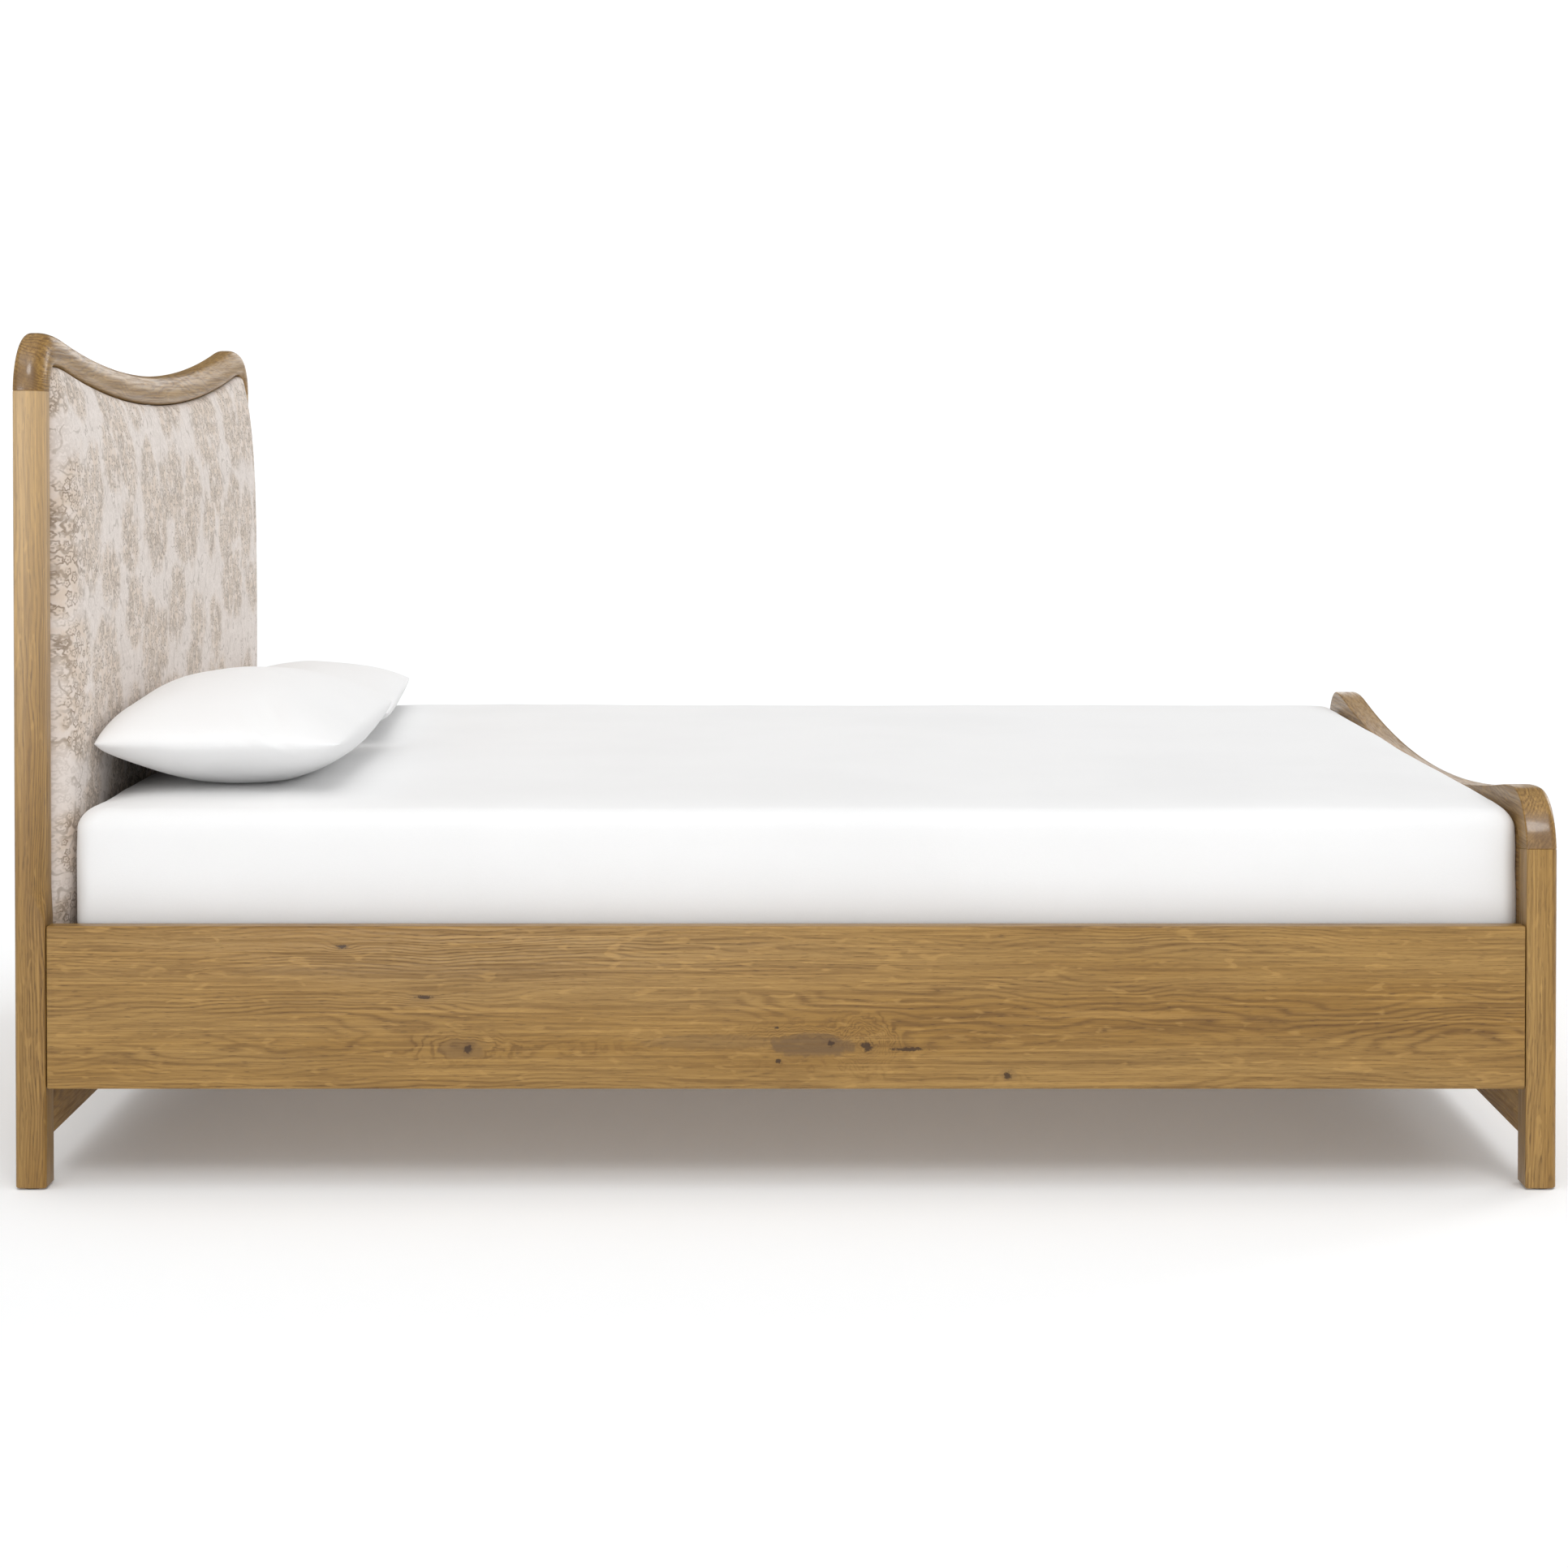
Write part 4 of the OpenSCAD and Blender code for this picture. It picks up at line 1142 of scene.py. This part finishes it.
class BED_OT_mattress(bpy.types.Operator):
    """Quilted mattress and the white sheet fitted over it"""

    bl_idname = "bed.mattress"
    bl_label = "Mattress and sheet"

    def profile(self, low, high, edge):
        """(inset, height, share of the way in) from under the mattress, up and over it."""
        steps = 10
        under = [(edge + (0.72 - edge) * (1 - s), low) for s in (0.0, 0.35, 0.6, 0.8, 0.9, 1.0)]
        rise = [(edge - edge * math.sin(a), low + edge - edge * math.cos(a))
                for a in (math.pi / 2 * i / steps for i in range(1, steps + 1))]
        wall = [(0.0, low + edge + (high - low - 2 * edge) * i / 14) for i in range(1, 14)]
        roll = [(edge - edge * math.cos(a), high - edge + edge * math.sin(a))
                for a in (math.pi / 2 * i / steps for i in range(steps + 1))]
        over = [(edge + (0.72 - edge) * s, high) for s in (0.02, 0.05, 0.09, 0.14, 0.2, 0.28, 0.37,
                                                           0.47, 0.58, 0.7, 0.82, 0.92, 0.98)]
        return under + rise + wall + roll + over

    def relief(self, point, look):
        """Shallow wrinkles of the sheet, and the mattress's own softness."""
        x, y, z = point
        corner = min(abs(x - cx) + abs(y - cy) for cx in self.ends_x for cy in self.ends_y)
        soft = 0.0022 * noise.noise(Vector((x * 2.6, y * 2.6, z * 3.0)))
        hang = noise.noise(Vector((x * 17.0, y * 17.0, z * 3.0 + 4.0)))
        lengthwise = noise.noise(Vector((x * 3.0 + 7.0, y * 3.0, z * 26.0)))
        gather = noise.noise(Vector(((x - y) * 30.0, (x + y) * 6.0, z * 22.0)))
        height = soft + look.wrinkle * (0.55 * hang + 0.6 * lengthwise)
        return height + look.wrinkle * 1.8 * gather * math.exp(-corner / 0.12)

    def execute(self, context):
        look = context.scene.bed_bedding
        low, high, _ = span("fitted_sheet")
        cloth, lift = look.cloth, 0.0006
        inner_low = Vector((low.x + 0.002, low.y + 0.002, low.z + lift + cloth + 0.0004))
        inner_high = Vector((high.x + 0.0025, high.y - 0.002, high.z - 0.0015))
        self.ends_x, self.ends_y = (low.x, high.x), (low.y, high.y)
        outline = rounded_outline(inner_low, inner_high, look.corner)
        centre = (inner_low + inner_high) / 2
        half = Vector((inner_high.x - centre.x, inner_high.y - centre.y, 0.0))
        profile = self.profile(inner_low.z, inner_high.z, look.edge)

        def ring(inset, z, off):
            """A closed ring round the mattress, inset from its sides and off its surface."""
            points = []
            for x, y, nx, ny in outline:
                sx = (half.x - inset) / half.x
                sy = (half.y - inset) / half.y
                px, py = centre.x + (x - centre.x) * sx, centre.y + (y - centre.y) * sy
                corner = abs(px - inner_low.x) + inner_high.y - abs(py)
                px -= look.ears * math.exp(-corner / 0.035)
                level = (z - inner_low.z) / (inner_high.z - inner_low.z)
                flat = inset >= look.edge * 0.999
                out = Vector((0, 0, 1 if level > 0.5 else -1)) if flat else Vector((nx, ny, 0))
                if not flat and inset > 0:
                    tilt = inset / look.edge
                    out = (out * (1 - tilt) + Vector((0, 0, tilt if level > 0.5 else -tilt)))
                    out.normalize()
                bulge = 0.002 * math.sin(math.pi * min(1.0, max(0.0, level))) * (inset == 0)
                crown = look.fullness * (1 - math.exp(-inset / 0.03)) * (level > 0.5)
                height = 0.0 if level < 0.02 else self.relief((px, py, z), look)
                place = Vector((px, py, z)) + out * (off + height + bulge)
                place.z = max(place.z + crown, low.z + lift + (0.0 if off else cloth))
                points.append(tuple(place))
            return points

        pad = loft("quilted_mattress", [ring(i, z, 0.0) for i, z in profile])
        dress(smooth(pad, 60.0), "mattress",
              quilted_ticking("quilted ticking", look.ticking),
              ["mattress_top_pad", "mattress_border", "mattress_bottom_pad"])

        start = [(look.edge + look.tuck * s, inner_low.z) for s in (1.0, 0.75, 0.5, 0.25, 0.0)]
        path = start + [p for p in profile if p[1] > inner_low.z + 1e-6]
        sheet = loft("white_fitted_sheet", [ring(i, z, cloth) for i, z in path], capped=False)
        close_top(sheet)
        skin = sheet.modifiers.new("Cloth thickness", "SOLIDIFY")
        skin.thickness, skin.offset = cloth * 0.8, -1.0
        dress(smooth(sheet, 60.0), "mattress",
              white_cotton("white cotton sheet", look.cotton), ["fitted_sheet"])
        return {"FINISHED"}


def close_top(piece):
    """Closes the highest hole of a mesh with one face."""
    made = bmesh.new()
    made.from_mesh(piece.data)
    top = max(v.co.z for v in made.verts)
    rim = [e for e in made.edges if e.is_boundary and e.verts[0].co.z > top - 0.05]
    bmesh.ops.contextual_create(made, geom=rim)
    bmesh.ops.recalc_face_normals(made, faces=made.faces)
    made.to_mesh(piece.data)
    made.free()


class BED_OT_pillows(bpy.types.Operator):
    """Two white pillows, filled by cloth simulation"""

    bl_idname = "bed.pillows"
    bl_label = "Pillows"

    def bag(self, name, middle, size, taper, seed):
        """Two flat layers of cloth sewn at their rim, with round corners.

        Returns the piece and, for each of its points, how far it lies along, across and up,
        from -1 to 1.
        """
        rows, columns = 46, 84
        points, spots, index = [], [], {}
        for layer in (1, -1):
            for i in range(columns + 1):
                for j in range(rows + 1):
                    rim = i in (0, columns) or j in (0, rows)
                    if rim and layer < 0:
                        index[layer, i, j] = index[1, i, j]
                        continue
                    u, v = 2 * i / columns - 1, 2 * j / rows - 1
                    puff = 0.014 + 0.006 * noise.noise(Vector((u * 5 + seed, v * 5, layer)))
                    puff *= (1 - u ** 4) * (1 - v ** 4)
                    wide, long = 1 - 0.035 * abs(u) ** 9, 1 - 0.03 * abs(v) ** 8
                    left = (v * wide + 1) * (1 - taper * (u + 1) / 2) - 1
                    index[layer, i, j] = len(points)
                    spots.append((u, v, 0 if rim else layer))
                    points.append((middle.x + left * size.x / 2, middle.y + u * long * size.y / 2,
                                   middle.z + layer * puff))
        faces = []
        for layer in (1, -1):
            for i in range(columns):
                for j in range(rows):
                    a, b = index[layer, i, j], index[layer, i + 1, j]
                    c, d = index[layer, i + 1, j + 1], index[layer, i, j + 1]
                    faces.append((a, b, c, d) if layer < 0 else (d, c, b, a))
        return add_mesh(name, points, faces), spots

    def fill(self, piece, look):
        """Blows the bag up with the cloth solver and keeps the result."""
        scene = bpy.context.scene
        frames = look.frames
        cloth = piece.modifiers.new("Filling", "CLOTH")
        cloth.settings.quality = 6
        cloth.settings.mass = 0.2
        cloth.settings.tension_stiffness = 14.0
        cloth.settings.compression_stiffness = 14.0
        cloth.settings.shear_stiffness = 6.0
        cloth.settings.bending_stiffness = 0.35
        cloth.settings.use_pressure = True
        cloth.settings.uniform_pressure_force = look.pressure
        cloth.settings.effector_weights.gravity = 0.0
        cloth.collision_settings.use_collision = False
        cloth.point_cache.frame_end = frames
        for number in range(1, frames + 1):
            scene.frame_set(number)
        self.keep(piece)
        scene.frame_set(1)

    def keep(self, piece):
        """Applies a piece's modifiers."""
        graph = bpy.context.evaluated_depsgraph_get()
        made = bpy.data.meshes.new_from_object(piece.evaluated_get(graph))
        piece.modifiers.clear()
        piece.data = made

    def section(self, u, v, layer):
        """How thick a well-filled pillow is at a spot, leaning on the headboard at v = -1."""
        if layer > 0:
            across = (1 - abs(v) ** 6) ** 0.5 if v < 0 else (1 - abs(v) ** 2.2) ** 0.75
            return across * (1 - abs(u) ** 2.6) ** 0.5
        across = (1 - abs(v) ** 1.5) ** 0.28 if v < 0 else (1 - abs(v) ** 3) ** 0.5
        return across * (1 - abs(u) ** 2.3) ** 0.7

    def settle(self, piece, spots, flat, low, high, look):
        """Lets the filled pillow rest: its outline stays, and its underside flattens."""
        made = bmesh.new()
        made.from_mesh(piece.data)
        for _ in range(4):
            bmesh.ops.smooth_vert(made, verts=made.verts, factor=0.5, use_axis_x=True,
                                  use_axis_y=True, use_axis_z=True)
        made.to_mesh(piece.data)
        made.free()
        middle = low.z + (high.z - low.z) * 0.5
        blown, shaped, cushion = 0.35, 0.65, 0.008
        rise = max(abs(v.co.z - middle) for v in piece.data.vertices)
        for vertex, (u, v, layer), start in zip(piece.data.vertices, spots, flat):
            moved = Vector((vertex.co.x - start.x, vertex.co.y - start.y, 0.0))
            if moved.length > look.give:
                moved *= look.give / moved.length
            thick = blown * abs(vertex.co.z - middle) / rise
            thick += shaped * self.section(u, v, layer)
            half = high.z - middle if layer > 0 else middle - low.z + look.sink
            place = Vector((start.x + moved.x, start.y + moved.y, middle + layer * half * thick))
            sunk = low.z + cushion - place.z
            if sunk > 0:
                place.z = low.z + cushion * math.exp(-sunk / cushion)
            vertex.co = place

    def crease(self, piece, high, seed):
        """Diagonal creases near the outer corner of the near end, and broad softness."""
        piece.modifiers.new("Subdivision", "SUBSURF")
        self.keep(piece)
        low = Vector(min(v.co[a] for v in piece.data.vertices) for a in range(3))
        size = high - low
        for vertex in piece.data.vertices:
            x, y, z = vertex.co
            course = Vector(((x * 0.64 + z * 0.77) * 62, (x * 0.77 - z * 0.64) * 12, seed * 7.0))
            corner = math.exp(-(((x - low.x) / size.x - 0.70) / 0.14) ** 2)
            fold = 0.0035 * corner * math.exp(-((y - low.y) / size.y / 0.2) ** 2)
            fold *= noise.noise(course)
            soft = 0.004 * noise.noise(Vector((x * 8, y * 7, z * 8 + seed)))
            lift = min(1.0, (z - low.z) / 0.03)
            vertex.co += Vector((0.0, -fold, (fold + soft) * lift))

    def execute(self, context):
        look = context.scene.bed_bedding
        cotton = white_cotton("white pillow cotton", look.cotton, 0.985)
        tapers = {"left": 0.03, "right": 0.14}
        for seed, (name, _) in enumerate(SIDES):
            node = f"pillow_{name}"
            low, high, _ = span(node)
            low = low + Vector((-0.008, 0.0, look.fullness * 0.8))
            middle, size = (low + high) / 2, high - low
            bag, spots = self.bag(f"{name}_pillow", middle, size, tapers[name], seed)
            flat = [v.co.copy() for v in bag.data.vertices]
            self.fill(bag, look)
            self.settle(bag, spots, flat, low, high, look)
            self.crease(bag, high, seed)
            dress(smooth(bag, 80.0), node, cotton, [node])
        return {"FINISHED"}


class BED_PT_panel(bpy.types.Panel):
    """Lists the bed's operators and their settings"""

    bl_label = "Oak bed"
    bl_idname = "BED_PT_panel"
    bl_space_type = "VIEW_3D"
    bl_region_type = "UI"
    bl_category = "Bed"

    def draw(self, context):
        for operator in OPERATORS:
            self.layout.operator(operator.bl_idname)
        for name, group in SETTINGS.items():
            box = self.layout.box()
            box.label(text=group.__doc__)
            for prop in group.__annotations__:
                box.prop(getattr(context.scene, name), prop)


OPERATORS = (
    BED_OT_stage, BED_OT_headboard, BED_OT_upholstery, BED_OT_footboard, BED_OT_side_rails,
    BED_OT_slat_base, BED_OT_fittings, BED_OT_mattress, BED_OT_pillows,
)


def register():
    for group in SETTINGS.values():
        bpy.utils.register_class(group)
    for name, group in SETTINGS.items():
        setattr(bpy.types.Scene, name, PointerProperty(type=group))
    for operator in OPERATORS:
        bpy.utils.register_class(operator)
    bpy.utils.register_class(BED_PT_panel)


def unregister():
    bpy.utils.unregister_class(BED_PT_panel)
    for operator in reversed(OPERATORS):
        bpy.utils.unregister_class(operator)
    for name in SETTINGS:
        delattr(bpy.types.Scene, name)
    for group in reversed(SETTINGS.values()):
        bpy.utils.unregister_class(group)


def main():
    register()
    for operator in OPERATORS:
        group, action = operator.bl_idname.split(".")
        getattr(getattr(bpy.ops, group), action)()


if __name__ == "__main__":
    main()
